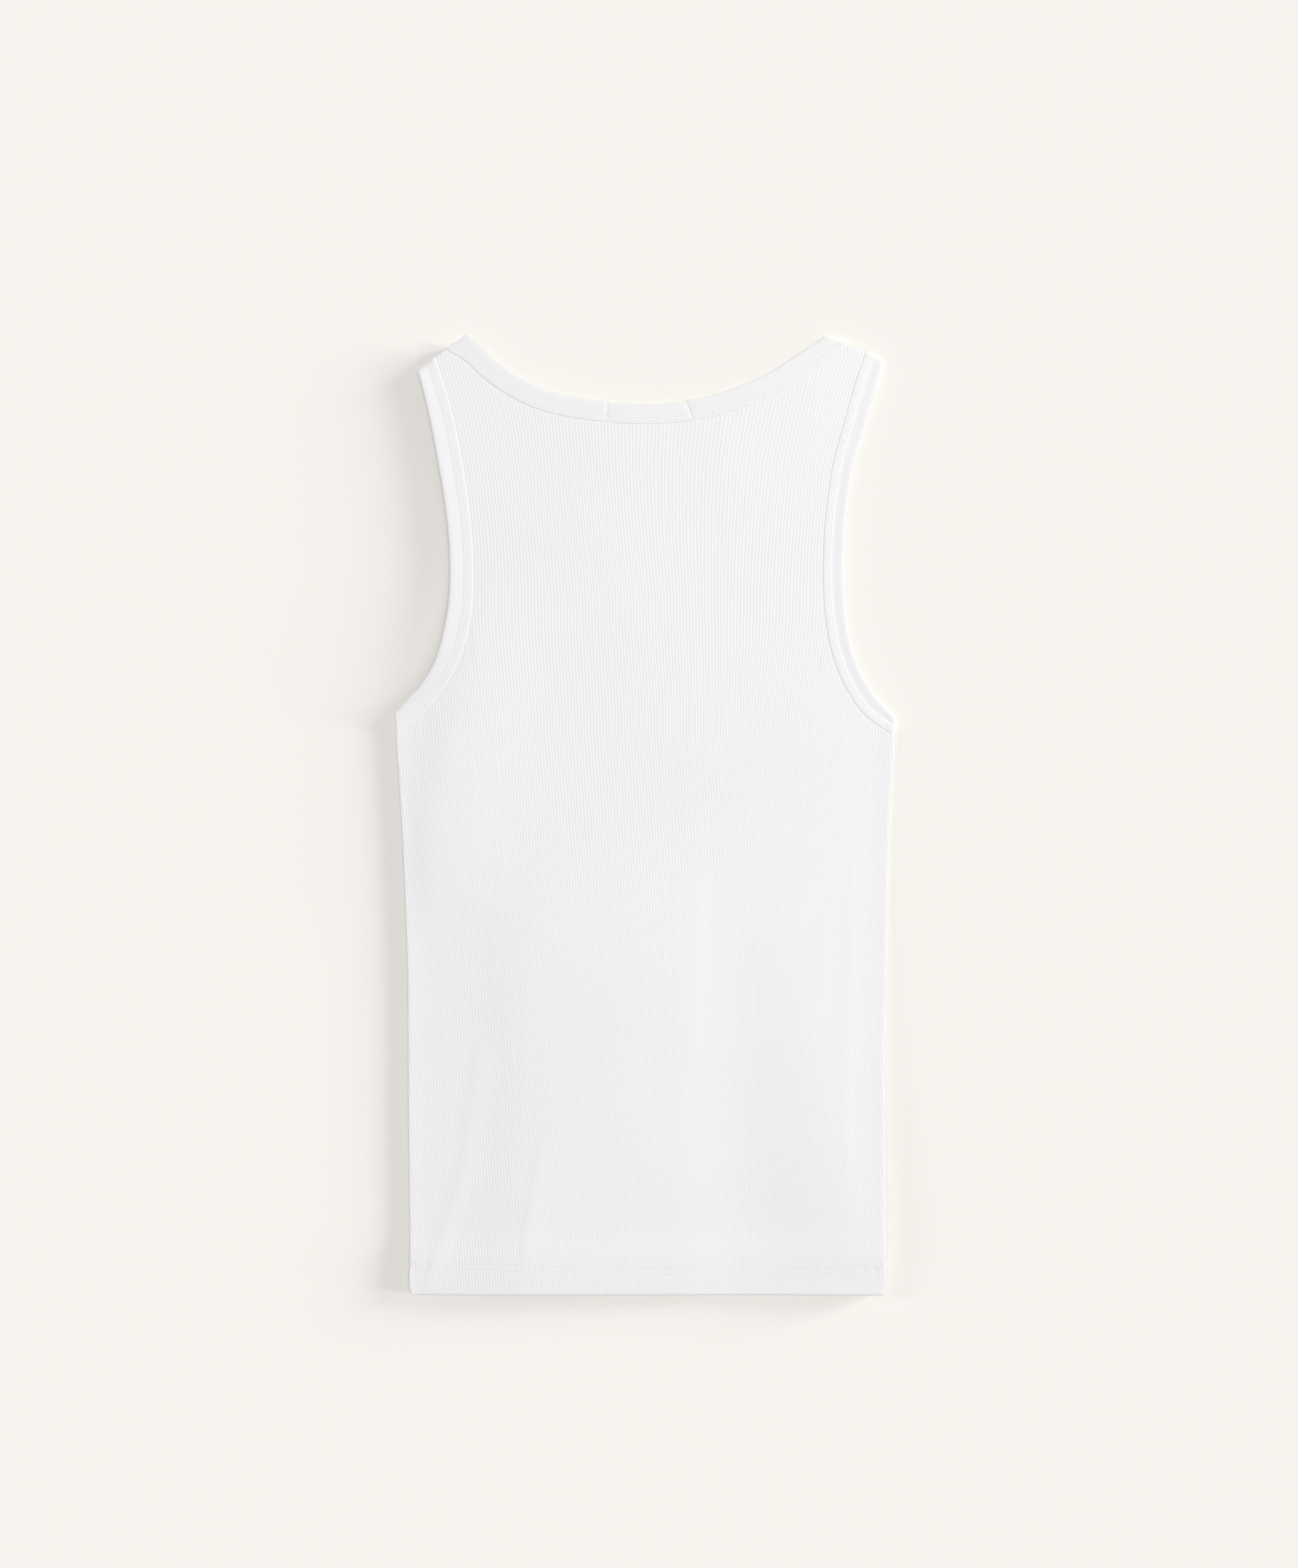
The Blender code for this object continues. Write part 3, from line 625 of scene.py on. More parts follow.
def outer_points(panel, wales, level_step):
    """The outer face: the fold along the hem, the rows up the panel and those over a cut edge."""
    heights, shared = row_heights(panel, wales, level_step)
    around, turned = HEM_TURNS[None, :], len(HEM_TURNS)
    fold_heights = HEM_FOLD * (1.0 - np.sin(around)) + 0 * wales[:, None]
    heights = np.hstack([fold_heights, heights])
    column, first, last = local_wales(panel, wales, heights)
    turn, side = side_fold(column)
    from_side = np.minimum(column, WALE_COUNT - column)
    inside = np.clip(from_side / WANDER_OVER - WANDER_CLEAR, 0.0, 1.0)
    x = column_x(panel, column, heights)
    x = x + inside * wander(column + twist(panel, heights), heights)
    half = half_gap(x, heights)
    face = WALL - hem_groove(x, heights)
    if panel == FRONT:
        face = face - RIB_RISE - front_lift(x, heights)
    face[:, :turned] = HEM_MIDDLE + (face[:, turned:turned + 1] - HEM_MIDDLE) * np.cos(around)
    points = place(x, heights, half, face, panel, turn, (side, 0.0))
    ends_x, ends_h, ends_half = x[:, -1:], heights[:, -1:], half[:, -1:]
    on_left, face_end = column[:, -1:] < WALE_COUNT / 2, face[:, -1:]
    outward = [np.where(on_left, *ways) for ways in zip(OUTWARD["left"], OUTWARD["right"])]
    folded = place(ends_x, ends_h, ends_half, face_end, panel, TURNS[None, :], outward)
    cut = place(ends_x, ends_h, ends_half, face_end * np.array([CUT_FACE]), panel)
    corners = TOP_CUTS[panel][[1, -2], 0]
    shoulder = (ends_x < corners[0]) | (ends_x > corners[1])
    over = np.where(shoulder[..., None], folded, cut)
    heights = np.hstack([heights, np.repeat(ends_h, len(TURNS), axis=1)])
    return np.concatenate([points, over], axis=1), heights, (first, last, shared + turned)


print("points of the outer face:",
      outer_points(BACK, wales_of(BACK, RIB_STEPS), BODY_ROW)[0].shape[:2])


# %% Inner face
INNER_STEPS = (0.0,)      # one column for each rib is enough inside
LEAF = -1.3               # inner face of the turned-up layer, from the wall's inner face
LEAF_END = 0.6            # how far that layer reaches beyond the upper row of stitches
LEAF_TURNS = np.radians((90.0, 45.0, 0.0))   # rows round the hem's fold


def inner_points(panel, wales, level_step):
    """The inner face: the turned-up hem, a step at its edge and a plain face above."""
    heights, shared = row_heights(panel, wales, level_step)
    around, turned = LEAF_TURNS[None, :], len(LEAF_TURNS)
    fold_heights = HEM_FOLD * (1.0 - np.sin(around)) + 0 * wales[:, None]
    heights = np.hstack([fold_heights, heights])
    column, first, last = local_wales(panel, wales, heights)
    turn, side = side_fold(column)
    x = column_x(panel, column, heights)
    leaf_end = hem_line(x) + HEM_ROW + LEAF_END
    face = np.where(heights < leaf_end, LEAF, 0.0)
    if panel == FRONT:
        face = face - front_lift(x, heights)
    face[:, :turned] = HEM_MIDDLE + (LEAF - HEM_MIDDLE) * np.cos(around)
    points = place(x, heights, half_gap(x, heights), face, panel, turn, (side, 0.0))
    return points, heights, (first, last, shared + turned)


print("points of the inner face:",
      inner_points(BACK, wales_of(BACK, INNER_STEPS), BODY_ROW)[0].shape[:2])

# %% [markdown]
# ## Joining the faces into one shell
#
# Both faces are grids, so their faces are counted off by rule. Four strips of triangles close the
# cut edge, the hem and the two sides. Every point also carries what the ribs and the yarn need to
# know: its wale number, and how much of the rib's height is left there, which falls to nothing
# where a binding's sewing presses the cloth flat. The same numbers make the UV map, with one unit
# for each wale and one for each course, so that the knit follows the cloth.

# %% Edges and strips of a grid
def rim_of(passing, within, total):
    """Columns and rows along the cut edge of a grid, from the left side to the right."""
    left, right, shared = within
    through = np.flatnonzero(passing)
    first, last = through[0], through[-1]
    rim = [(column, shared - 1) for column in range(left[shared - 1], first)]
    rim += [(first, row) for row in range(shared - 1, total)]
    rim += [(column, total - 1) for column in range(first + 1, last)]
    rim += [(last, row) for row in range(total - 1, shared - 2, -1)]
    rim += [(column, shared - 1) for column in range(last + 1, right[shared - 1] + 1)]
    return rim


def strip(points, first, second):
    """Triangles between two lines of points, by the shorter diagonal."""
    faces, i, j = [], 0, 0
    while i < len(first) - 1 or j < len(second) - 1:
        step_first = j == len(second) - 1
        if not step_first and i < len(first) - 1:
            one = np.linalg.norm(points[first[i + 1]] - points[second[j]])
            other = np.linalg.norm(points[first[i]] - points[second[j + 1]])
            step_first = one <= other
        if step_first:
            faces.append((first[i], first[i + 1], second[j]))
            i += 1
        else:
            faces.append((first[i], second[j + 1], second[j]))
            j += 1
    return faces


print("two lines of 3 points make", len(strip(np.eye(6), [0, 1, 2], [3, 4, 5])), "triangles")


# %% Faces of a grid
def grid_faces(passing, within, total, start):
    """Faces of a grid of columns. Its lower rows end at the side folds, the others at the cuts."""
    left, right, shared = within
    index = start + np.arange(len(passing) * total).reshape(len(passing), total)
    faces = np.stack([index[:-1, :-1], index[1:, :-1], index[1:, 1:], index[:-1, 1:]], axis=-1)
    column = np.arange(len(passing) - 1)[:, None]
    low = np.maximum(left[:-1], left[1:])
    high = np.minimum(right[:-1], right[1:])
    between = (column >= low) & (column < high)
    keep = np.repeat((passing[:-1] & passing[1:])[:, None], total - 1, axis=1)
    keep[:, :shared - 1] = between[:, :shared - 1]
    found = [tuple(face) for face in faces[keep].tolist()]
    names = index.tolist()
    for row in range(shared - 1):
        for ends, meet in ((left[row:row + 2], low[row]), (right[row:row + 2], high[row])):
            for step in range(min(ends[0], meet), max(ends[0], meet)):
                found.append((names[step][row], names[step + 1][row], names[meet][row + 1]))
            for step in range(min(ends[1], meet), max(ends[1], meet)):
                found.append((names[meet][row], names[step + 1][row + 1], names[step][row + 1]))
    return found, index


small_grid = grid_faces(np.full(3, True), (np.array([0, 0]), np.array([2, 2]), 2), 2, 0)
print("3 columns of 2 points make", len(small_grid[0]), "faces")

# %% Where the bindings press the cloth
NECK_STRIDE, ARM_STRIDE = 12, 6         # sections from one point of a sewn line to the next
FAR = 1e3                 # more than any distance on the garment


def distance_to(edges, x, height):
    """Distance from points to the nearest of some lines in plan."""
    nearest = np.full(x.shape, FAR)
    for edge in edges:
        for start, end in zip(edge[:-1], edge[1:]):
            along, _ = line_frame(x, height, *start, *end)
            along = np.clip(along, 0.0, 1.0)
            off = np.hypot(x - start[0] - (end[0] - start[0]) * along,
                           height - start[1] - (end[1] - start[1]) * along)
            nearest = np.minimum(nearest, off)
    return nearest


def sewn_lines(panel):
    """The lines where the bindings are sewn on, with fewer points."""
    lines = [neck_sections(panel)[::NECK_STRIDE, 2:]]
    return lines + [arm_sections(panel, name)[::ARM_STRIDE, 2:] for name in ("left", "right")]


print("a cut edge of the back has", len(sewn_lines(BACK)), "sewn lines")


# %% Objects for the meshes
MERGE, SLIVER = 0.02 * MM, 0.001 * MM   # distances at which points or edges count as one


def put_in_scene(name, data):
    """An object for a mesh, a light or a camera."""
    obj = bpy.data.objects.new(name, data)
    bpy.context.scene.collection.objects.link(obj)
    return obj


def tidy(data, name):
    """Merges doubled points, drops unused ones and puts the mesh on an object of its own."""
    mesh = bmesh.new()
    mesh.from_mesh(data)
    bmesh.ops.remove_doubles(mesh, verts=mesh.verts, dist=MERGE)
    bmesh.ops.dissolve_degenerate(mesh, edges=mesh.edges, dist=SLIVER)
    loose = [vert for vert in mesh.verts if not vert.link_faces]
    bmesh.ops.delete(mesh, geom=loose, context="VERTS")
    mesh.to_mesh(data)
    mesh.free()
    data.shade_smooth()
    return put_in_scene(name, data)


print("points closer than", MERGE / MM, "mm are merged")

# %% Shell of a panel
COURSE = 1.3              # height of one knitted stitch
PRESSED = 1.4             # distance over which sewing presses the ribs flat
UNEVEN = 1.6              # how much a rib's height changes with its wander
PRESS_MOST = 0.95         # largest share of its height that a pressed rib loses


def panel_mesh(name, panel, level_step):
    """One closed shell, with its wale numbers, rib heights and UV map."""
    grids, rows, faces, start = [], [], [], 0
    for make, steps, outer in ((outer_points, RIB_STEPS, True), (inner_points, INNER_STEPS, False)):
        wales = wales_of(panel, steps)
        points, heights, within = make(panel, wales, level_step)
        through, total = is_passing(panel, wales), heights.shape[1]
        found, index = grid_faces(through, within, total, start)
        faces += found if outer == (panel == BACK) else [face[::-1] for face in found]
        rim = [int(index[column, row]) for column, row in rim_of(through, within, total)]
        wide = local_wales(panel, wales, heights)[0] + twist(panel, heights)
        grids.append((points.reshape(-1, 3), wide.ravel(), heights.ravel(),
                      np.full(wide.size, outer)))
        sides = [[int(index[line[row], row]) for row in range(within[2])] for line in within[:2]]
        hem = index[within[0][0]:within[1][0] + 1, 0].tolist()
        rows.append((rim, sides, hem))
        start += wide.size
    points = np.concatenate([grid[0] for grid in grids])
    wale = np.concatenate([grid[1] for grid in grids])
    height = np.concatenate([grid[2] for grid in grids])
    outside = np.concatenate([grid[3] for grid in grids])
    (outer_rim, outer_sides, outer_hem), (inner_rim, inner_sides, inner_hem) = rows
    closing = strip(points, outer_rim, inner_rim)
    closing += [face[::-1] for face in strip(points, outer_hem, inner_hem)]
    closing += [face[::-1] for face in strip(points, inner_sides[0], outer_sides[0])]
    closing += strip(points, inner_sides[1], outer_sides[1])
    if panel == FRONT:
        closing = [face[::-1] for face in closing]
    plan_x, plan_h = points[:, 0] / MM, points[:, 1] / MM + LENGTH / 2
    clear = distance_to(sewn_lines(panel), plan_x, plan_h)
    raise_by = smooth_step(clear / PRESSED) * outside * (1.0 + UNEVEN * wander(wale, height))
    pressed = fold_rise(plan_x, plan_h, PRESSED_RIBS)
    raise_by = raise_by * (1.0 - np.clip(pressed, 0.0, PRESS_MOST))
    data = bpy.data.meshes.new(name)
    data.from_pydata(points.tolist(), [], faces + closing)
    data.attributes.new("wale", "FLOAT", "POINT").data.foreach_set("value", wale.astype("f4"))
    data.attributes.new("raise", "FLOAT", "POINT").data.foreach_set("value", raise_by.astype("f4"))
    corner = np.empty(len(data.loops), dtype="i4")
    data.loops.foreach_get("vertex_index", corner)
    uv = np.stack([wale[corner], height[corner] / COURSE], axis=-1).astype("f4")
    data.uv_layers.new(name="knit").data.foreach_set("uv", uv.ravel())
    return tidy(data, name)


back_cloth = panel_mesh("back_panel_knit", BACK, BODY_ROW)
print("back panel:", len(back_cloth.data.polygons), "faces before its ribs are raised")

# %% Front panel
FRONT_ROW = 9.0           # distance between level rows of the front, which lies flat
front_cloth = panel_mesh("front_panel_knit", FRONT, FRONT_ROW)
print("front panel:", len(front_cloth.data.polygons), "faces before its ribs are raised")

# %% [markdown]
# ## The yarn's colour and feel
#
# White cotton is matt, slightly furry and never one flat white. Each loop of the knit is a small
# V. The V's are far too small to model, so they are bump, drawn from the UV map: one unit across
# for each wale and one up for each course. A fine noise breaks them up as hairs do, and a broad one
# shifts the white a little, as washing does.

# %% Helpers for materials
SHEEN_ROUGHNESS, SPECULAR = 0.6, 0.15   # of all cloth, thread and paper
MIX_DARK, MIX_LIGHT, MIX_RESULT = 6, 7, 2   # sockets of a Mix node that mixes colours


def new_material(name, colour, roughness, sheen):
    material = bpy.data.materials.new(name)
    material.use_nodes = True
    shader = material.node_tree.nodes["Principled BSDF"]
    shader.inputs["Base Color"].default_value = (*colour, 1.0)
    shader.inputs["Roughness"].default_value = roughness
    shader.inputs["Sheen Weight"].default_value = sheen
    shader.inputs["Sheen Roughness"].default_value = SHEEN_ROUGHNESS
    shader.inputs["Specular IOR Level"].default_value = SPECULAR
    return material, shader


def add_node(tree, kind, inputs=(), **settings):
    node = tree.nodes.new(kind)
    for key, value in settings.items():
        setattr(node, key, value)
    for key, value in dict(inputs).items():
        if hasattr(value, "links"):
            tree.links.new(value, node.inputs[key])
        else:
            node.inputs[key].default_value = value
    return node


def maths(tree, operation, first, second=0.0):
    node = add_node(tree, "ShaderNodeMath", {0: first, 1: second}, operation=operation)
    return node.outputs[0]


def broad_colour(tree, shader, dark, light, scale):
    """The white shifts a little over some centimetres."""
    where = add_node(tree, "ShaderNodeTexCoord")
    noise = add_node(tree, "ShaderNodeTexNoise", {"Vector": where.outputs["Object"], "Scale": scale,
                                                  "Detail": 3.0})
    mix = add_node(tree, "ShaderNodeMix", {"Factor": noise.outputs["Fac"]}, data_type="RGBA")
    mix.inputs[MIX_DARK].default_value = (*dark, 1.0)
    mix.inputs[MIX_LIGHT].default_value = (*light, 1.0)
    tree.links.new(mix.outputs[MIX_RESULT], shader.inputs["Base Color"])
    return where


print("all materials share a specular level of", SPECULAR)


# %% Bump of the knit
def knit_bump(tree, shader, where, across, up, depth, fuzz_scale, fuzz_depth):
    """V-shaped loops from the UV map, and hairs from noise."""
    knit = add_node(tree, "ShaderNodeUVMap", uv_map="knit")
    parts = add_node(tree, "ShaderNodeSeparateXYZ", {0: knit.outputs[0]})
    column = maths(tree, "MULTIPLY", parts.outputs["X"], across)
    slope = maths(tree, "PINGPONG", column, 0.5)
    climb = maths(tree, "ADD", maths(tree, "MULTIPLY", parts.outputs["Y"], up), slope)
    loop = maths(tree, "SINE", maths(tree, "MULTIPLY", climb, 2.0 * math.pi))
    fuzz = add_node(tree, "ShaderNodeTexNoise", {"Vector": where.outputs["Object"],
                                                 "Scale": fuzz_scale, "Detail": 4.0})
    first = add_node(tree, "ShaderNodeBump", {"Height": loop, "Strength": 1.0, "Distance": depth})
    second = add_node(tree, "ShaderNodeBump", {"Height": fuzz.outputs["Fac"], "Strength": 1.0,
                                               "Distance": fuzz_depth,
                                               "Normal": first.outputs["Normal"]})
    tree.links.new(second.outputs["Normal"], shader.inputs["Normal"])


# %% Rib knit, smooth knit and thread
RIB = {"across": 2.0, "up": 1.0, "depth": 0.01 * MM, "fuzz_scale": 900.0,
       "fuzz_depth": 0.09 * MM}
SMOOTH = {"across": 1.0, "up": 1.0, "depth": 0.014 * MM, "fuzz_scale": 1400.0,
          "fuzz_depth": 0.045 * MM}
SHEEN = 0.15              # short hairs that stand off the cloth


def cotton(name, dark, light, roughness, patches, loops):
    """A cotton knit: its shade drifts from dark to light over patches of cloth."""
    material, shader = new_material(name, light, roughness, SHEEN)
    tree = material.node_tree
    where = broad_colour(tree, shader, dark, light, patches)
    knit_bump(tree, shader, where, **loops)
    return material


def rib_knit(name, dark, light):
    return cotton(name, dark, light, roughness=0.92, patches=9.0, loops=RIB)


def smooth_knit(name, dark, light):
    return cotton(name, dark, light, roughness=0.88, patches=14.0, loops=SMOOTH)


back_rib = rib_knit("back_rib_knit", (0.875, 0.875, 0.88), (0.905, 0.905, 0.905))
front_rib = rib_knit("front_rib_knit", (0.86, 0.86, 0.865), (0.89, 0.89, 0.89))
neck_knit = smooth_knit("neck_binding_knit", (0.87, 0.87, 0.875), (0.895, 0.895, 0.895))
arm_knit = {name: smooth_knit(name + "_armhole_knit", (0.89, 0.89, 0.895), (0.915, 0.915, 0.915))
            for name in ("left", "right")}
thread, _ = new_material("white_thread", (0.92, 0.92, 0.92), roughness=0.6, sheen=0.1)
print(len(bpy.data.materials), "materials")

# %% [markdown]
# ## Raising the ribs
#
# A rib could be modelled point by point, but it follows a rule: its height depends only on how far
# across the wale a point lies. So a Geometry Nodes tree raises them. It reads the wale number,
# keeps its fraction, turns that into a rounded profile with a narrow furrow, and moves each point
# out along its normal. The sizes are inputs of the tree, so that a finer or a bolder rib is a
# matter of one number.

# %% Tree that raises ribs
def named_input(tree, name, kind, default):
    socket = tree.interface.new_socket(name=name, in_out="INPUT", socket_type=kind)
    if default is not None:
        socket.default_value = default
    return socket.identifier


def new_tree(name, inputs):
    """A Geometry Nodes tree with named inputs, its Group Input and its Group Output."""
    tree = bpy.data.node_groups.new(name, "GeometryNodeTree")
    tree.interface.new_socket(name="Geometry", in_out="INPUT", socket_type="NodeSocketGeometry")
    tree.interface.new_socket(name="Geometry", in_out="OUTPUT", socket_type="NodeSocketGeometry")
    keys = {title: named_input(tree, title, kind, default) for title, kind, default in inputs}
    return tree, tree.nodes.new("NodeGroupInput"), tree.nodes.new("NodeGroupOutput"), keys


def finish_tree(tree, geometry, source, result):
    """Ends a tree: instances made real, then the material set."""
    real = add_node(tree, "GeometryNodeRealizeInstances", {0: geometry})
    painted = add_node(tree, "GeometryNodeSetMaterial", {"Geometry": real.outputs[0],
                                                         "Material": source.outputs["Material"]})
    tree.links.new(painted.outputs[0], result.inputs[0])


def attribute(tree, name, kind="FLOAT"):
    node = add_node(tree, "GeometryNodeInputNamedAttribute", {"Name": name}, data_type=kind)
    return node.outputs[0]


def rib_tree():
    tree, source, result, keys = new_tree("raised_ribs", (
        ("Rise", "NodeSocketFloat", RIB_RISE * MM), ("Roundness", "NodeSocketFloat", 2.2),
        ("Material", "NodeSocketMaterial", None)))
    across = maths(tree, "PINGPONG", attribute(tree, "wale"), 0.5)
    furrow = maths(tree, "POWER", maths(tree, "MULTIPLY", across, 2.0), source.outputs["Roundness"])
    profile = maths(tree, "SUBTRACT", 1.0, furrow)
    height = maths(tree, "MULTIPLY", maths(tree, "MULTIPLY", profile, attribute(tree, "raise")),
                   source.outputs["Rise"])
    normal = add_node(tree, "GeometryNodeInputNormal")
    move = add_node(tree, "ShaderNodeVectorMath", {0: normal.outputs[0], "Scale": height},
                    operation="SCALE")
    raised = add_node(tree, "GeometryNodeSetPosition", {"Geometry": source.outputs["Geometry"],
                                                        "Offset": move.outputs[0]})
    finish_tree(tree, raised.outputs[0], source, result)
    return tree, keys


raised_ribs, rib_keys = rib_tree()
print("the rib tree has", len(raised_ribs.nodes), "nodes and the inputs", ", ".join(rib_keys))


# %% Apply a tree to a piece
def apply_tree(obj, tree, keys, values):
    """Runs a tree on an object, keeps its result as a plain mesh and removes the modifier."""
    modifier = obj.modifiers.new(tree.name, "NODES")
    modifier.node_group = tree
    for title, value in values.items():
        modifier[keys[title]] = value
    depsgraph = bpy.context.evaluated_depsgraph_get()
    data = bpy.data.meshes.new_from_object(obj.evaluated_get(depsgraph), depsgraph=depsgraph)
    obj.modifiers.clear()
    old, name = obj.data, obj.name
    obj.data = data
    bpy.data.meshes.remove(old)
    data.name = name
    data.shade_smooth()
    return obj


SHARP = math.radians(62.0)   # edges that turn by more than this stay sharp
for cloth, knit in ((back_cloth, back_rib), (front_cloth, front_rib)):
    apply_tree(cloth, raised_ribs, rib_keys, {"Rise": RIB_RISE * MM, "Material": knit})
    cloth.data.set_sharp_from_angle(angle=SHARP)
    print(cloth.name, sum(len(face.vertices) - 2 for face in cloth.data.polygons), "triangles")

# %% [markdown]
# ## Bindings
#
# A binding is a strip of smooth knit folded over the raw edge and stitched through all its
# layers. On the cloth it shows as a narrow raised band along its sewn edge, pressed in along two
# rows of stitches, and as a softly rounded roll outside them. Here it is a ring: a cross-section
# carried along the neckline, over the shoulder fold, back along the front and over the other
# shoulder. The cross-section has a slot that holds the panel's edge. No two rolls lie alike: the
# left one stands up and is pressed flat at the underarm, the right one is hollow beside its
# stitches, and the neck's slopes down to its left end.

# %% Cross-section of a binding
ROWS = {"neck": (2.1, 4.6), "left": (3.1, 6.2), "right": (2.4, 5.1)}   # from the sewn edge
SLOT = UNDERLAP + 0.3     # depth of the slot that the panel's edge is sewn into
ENDS = {"neck": (16.0, 1.0), "left": (6.0, 0.6), "right": (4.0, 0.0)}   # reach, drop at the end
FLATTENED = {"neck": 0.0, "left": 1.5, "right": 0.0}   # drop of the free edge at the underarm
FLAT_FROM, FLAT_TO = 180.0, 258.0     # how far from the shoulder that sets in
ROLL_FROM = 1.0           # how far outside its stitches a binding starts to be flattened
END_FROM, END_OVER = 2.4, 2.0         # distances from the sewn edge over which an end drops
TOP_FROM, TOP_OVER = 0.7, 0.6         # heights over which a point counts as the top face
RIPPLE, SEWN_RIPPLE = 0.05, 0.06      # small waves everywhere, and more along the stitches
ROLLS = {                 # how much higher the outer part lies, from its stitches outwards
    "neck": (0.0, 0.0, 0.0, 0.0, 0.0, -0.04), "left": (0.0, 0.06, 0.25, 0.5, 0.72, 0.8),
    "right": (-0.3, -0.35, -0.15, 0.2, 0.45, 0.6),
}


def band_profile(name, width):
    """Distances across a binding and heights above the wall's inner face, back and front."""
    first, second = ROWS[name]
    rim, beyond = min(0.9, first / 2), width - second
    roll = ROLLS[name]
    return np.array((
        # distance from the sewn edge, height on the back, height on the front
        (0.0, WALL + 0.06, 1.04), (0.1, 1.34, 1.1), (0.4, 1.52, 1.1), (rim, 1.66, 1.1),
        (first - 0.6, 1.66, 1.1), (first, 1.52, 1.0), (first + 0.6, 1.66, 1.1),
        (0.5 * (first + second), 1.72, 1.1), (second - 0.6, 1.66, 1.1), (second, 1.46, 1.0),
        (second + 0.7, 1.56 + roll[0], 1.1), (second + 1.6, 1.62 + roll[1], 1.1),
        (second + 0.36 * beyond, 1.65 + roll[2], 1.1),
        (second + 0.54 * beyond, 1.65 + roll[3], 1.1),
        (second + 0.7 * beyond, 1.63 + roll[4], 1.1), (second + 0.85 * beyond, 1.57 + roll[5], 1.1),
        (0.95 * width, 1.46 + roll[5], 1.08), (0.985 * width, 1.24 + 0.7 * roll[5], 1.0),
        (0.998 * width, 0.9, 0.8),
        (width, 0.5, 0.48), (0.985 * width, 0.15, 0.1), (0.95 * width, -0.05, -0.12),
        (0.7 * width, -0.12, -0.16), (0.3 * width, -0.12, -0.16), (0.0, -0.1, -0.16),
        (0.0, -0.02, -0.04), (SLOT, -0.02, -0.04), (SLOT, WALL + 0.06, 1.04),
    ))


def arc_lengths(points):
    steps = np.linalg.norm(np.diff(points, axis=0), axis=1)
    return np.concatenate([[0.0], np.cumsum(steps)])


print(len(band_profile("neck", BAND_WIDTH)), "points round a binding")

# %% [markdown]
# The two short pinched lines in the neck binding are where something inside was tacked down: the
# thread pulls the cloth in, so that it drops on one side of the tack and comes back up over a few
# millimetres.

# %% Tacks
TACKS = (
    # top x, height, foot x, height, depth, fades out over
    (-26.2, 613.5, -26.6, 600.0, 1.0, 3.2),
    (27.6, 614.8, 32.2, 603.5, 1.2, 3.8),
)
TACK_SAG = 0.8            # how much lower the neck's free edge hangs between the tacks
POCKET, POCKET_REACH = 0.6, 0.9       # share of a tack's depth in its narrow pocket, and its width
LIP, LIP_REACH = 0.25, 1.5            # the same for the cloth on the tack's other side
TACK_EDGE = 0.4           # width of the step between the two
TACK_STEEP, FOOT_OPEN, TOP_OPEN = 3.0, 0.6, 0.9   # how fast its ends fade, and what stays there
SAG_EDGE, SAG_BEYOND = 0.8, 1.0       # how far the sag takes to set in, and passes the last tack


def tack_dip(x, height):
    """The binding drops on the right of each tack."""
    dip = 0.0 * x
    for top_x, top_h, foot_x, foot_h, depth, fade in TACKS:
        along, across = line_frame(x, height, foot_x, foot_h, top_x, top_h)
        foot = smooth_step(TACK_STEEP * along + FOOT_OPEN)
        ends = foot * smooth_step(TACK_STEEP * (1.0 - along) + TOP_OPEN)
        right = np.maximum(across, 0.0)
        pocket = POCKET * np.exp(-(right / POCKET_REACH) ** 2)
        pocket = pocket + (1.0 - POCKET) * np.exp(-right / fade)
        lip = LIP * np.exp(np.minimum(across, 0.0) / LIP_REACH)
        sharp = smooth_step(across / TACK_EDGE)
        dip = dip + depth * ends * (lip * (1.0 - sharp) + pocket * sharp)
    return dip


def tack_sag(x, share):
    """How far the cloth hangs down between the tacks, most at its free edge."""
    begin = smooth_step((x - TACKS[0][0]) / SAG_EDGE)
    end = smooth_step((TACKS[1][0] + SAG_BEYOND - x) / SAG_EDGE)
    return TACK_SAG * (begin * end) * smooth_step(share)


print("beside a tack the binding drops by", round(float(tack_dip(-26.0, 606.0)), 2), "mm")

# %% Points of a binding
BAND_TURNS = np.radians(np.arange(15.0, 180.0, 15.0))   # rings round the fold at a shoulder
WAVER_LENGTHS = (2.6, 4.1, 6.3, 11.0, 23.0)   # of the small waves along a binding
WAVER_SEED = 7


def waver(along, across, seed):
    """Small uneven waves, from -1 to 1."""
    chance = np.random.default_rng(seed)
    total = 0.0
    for wavelength in WAVER_LENGTHS:
        tilt, phase = chance.uniform(-0.5, 0.5), chance.uniform(0.0, FULL_TURN)
        total = total + np.sin(FULL_TURN * (along + tilt * across) / wavelength + phase)
    return total / len(WAVER_LENGTHS)


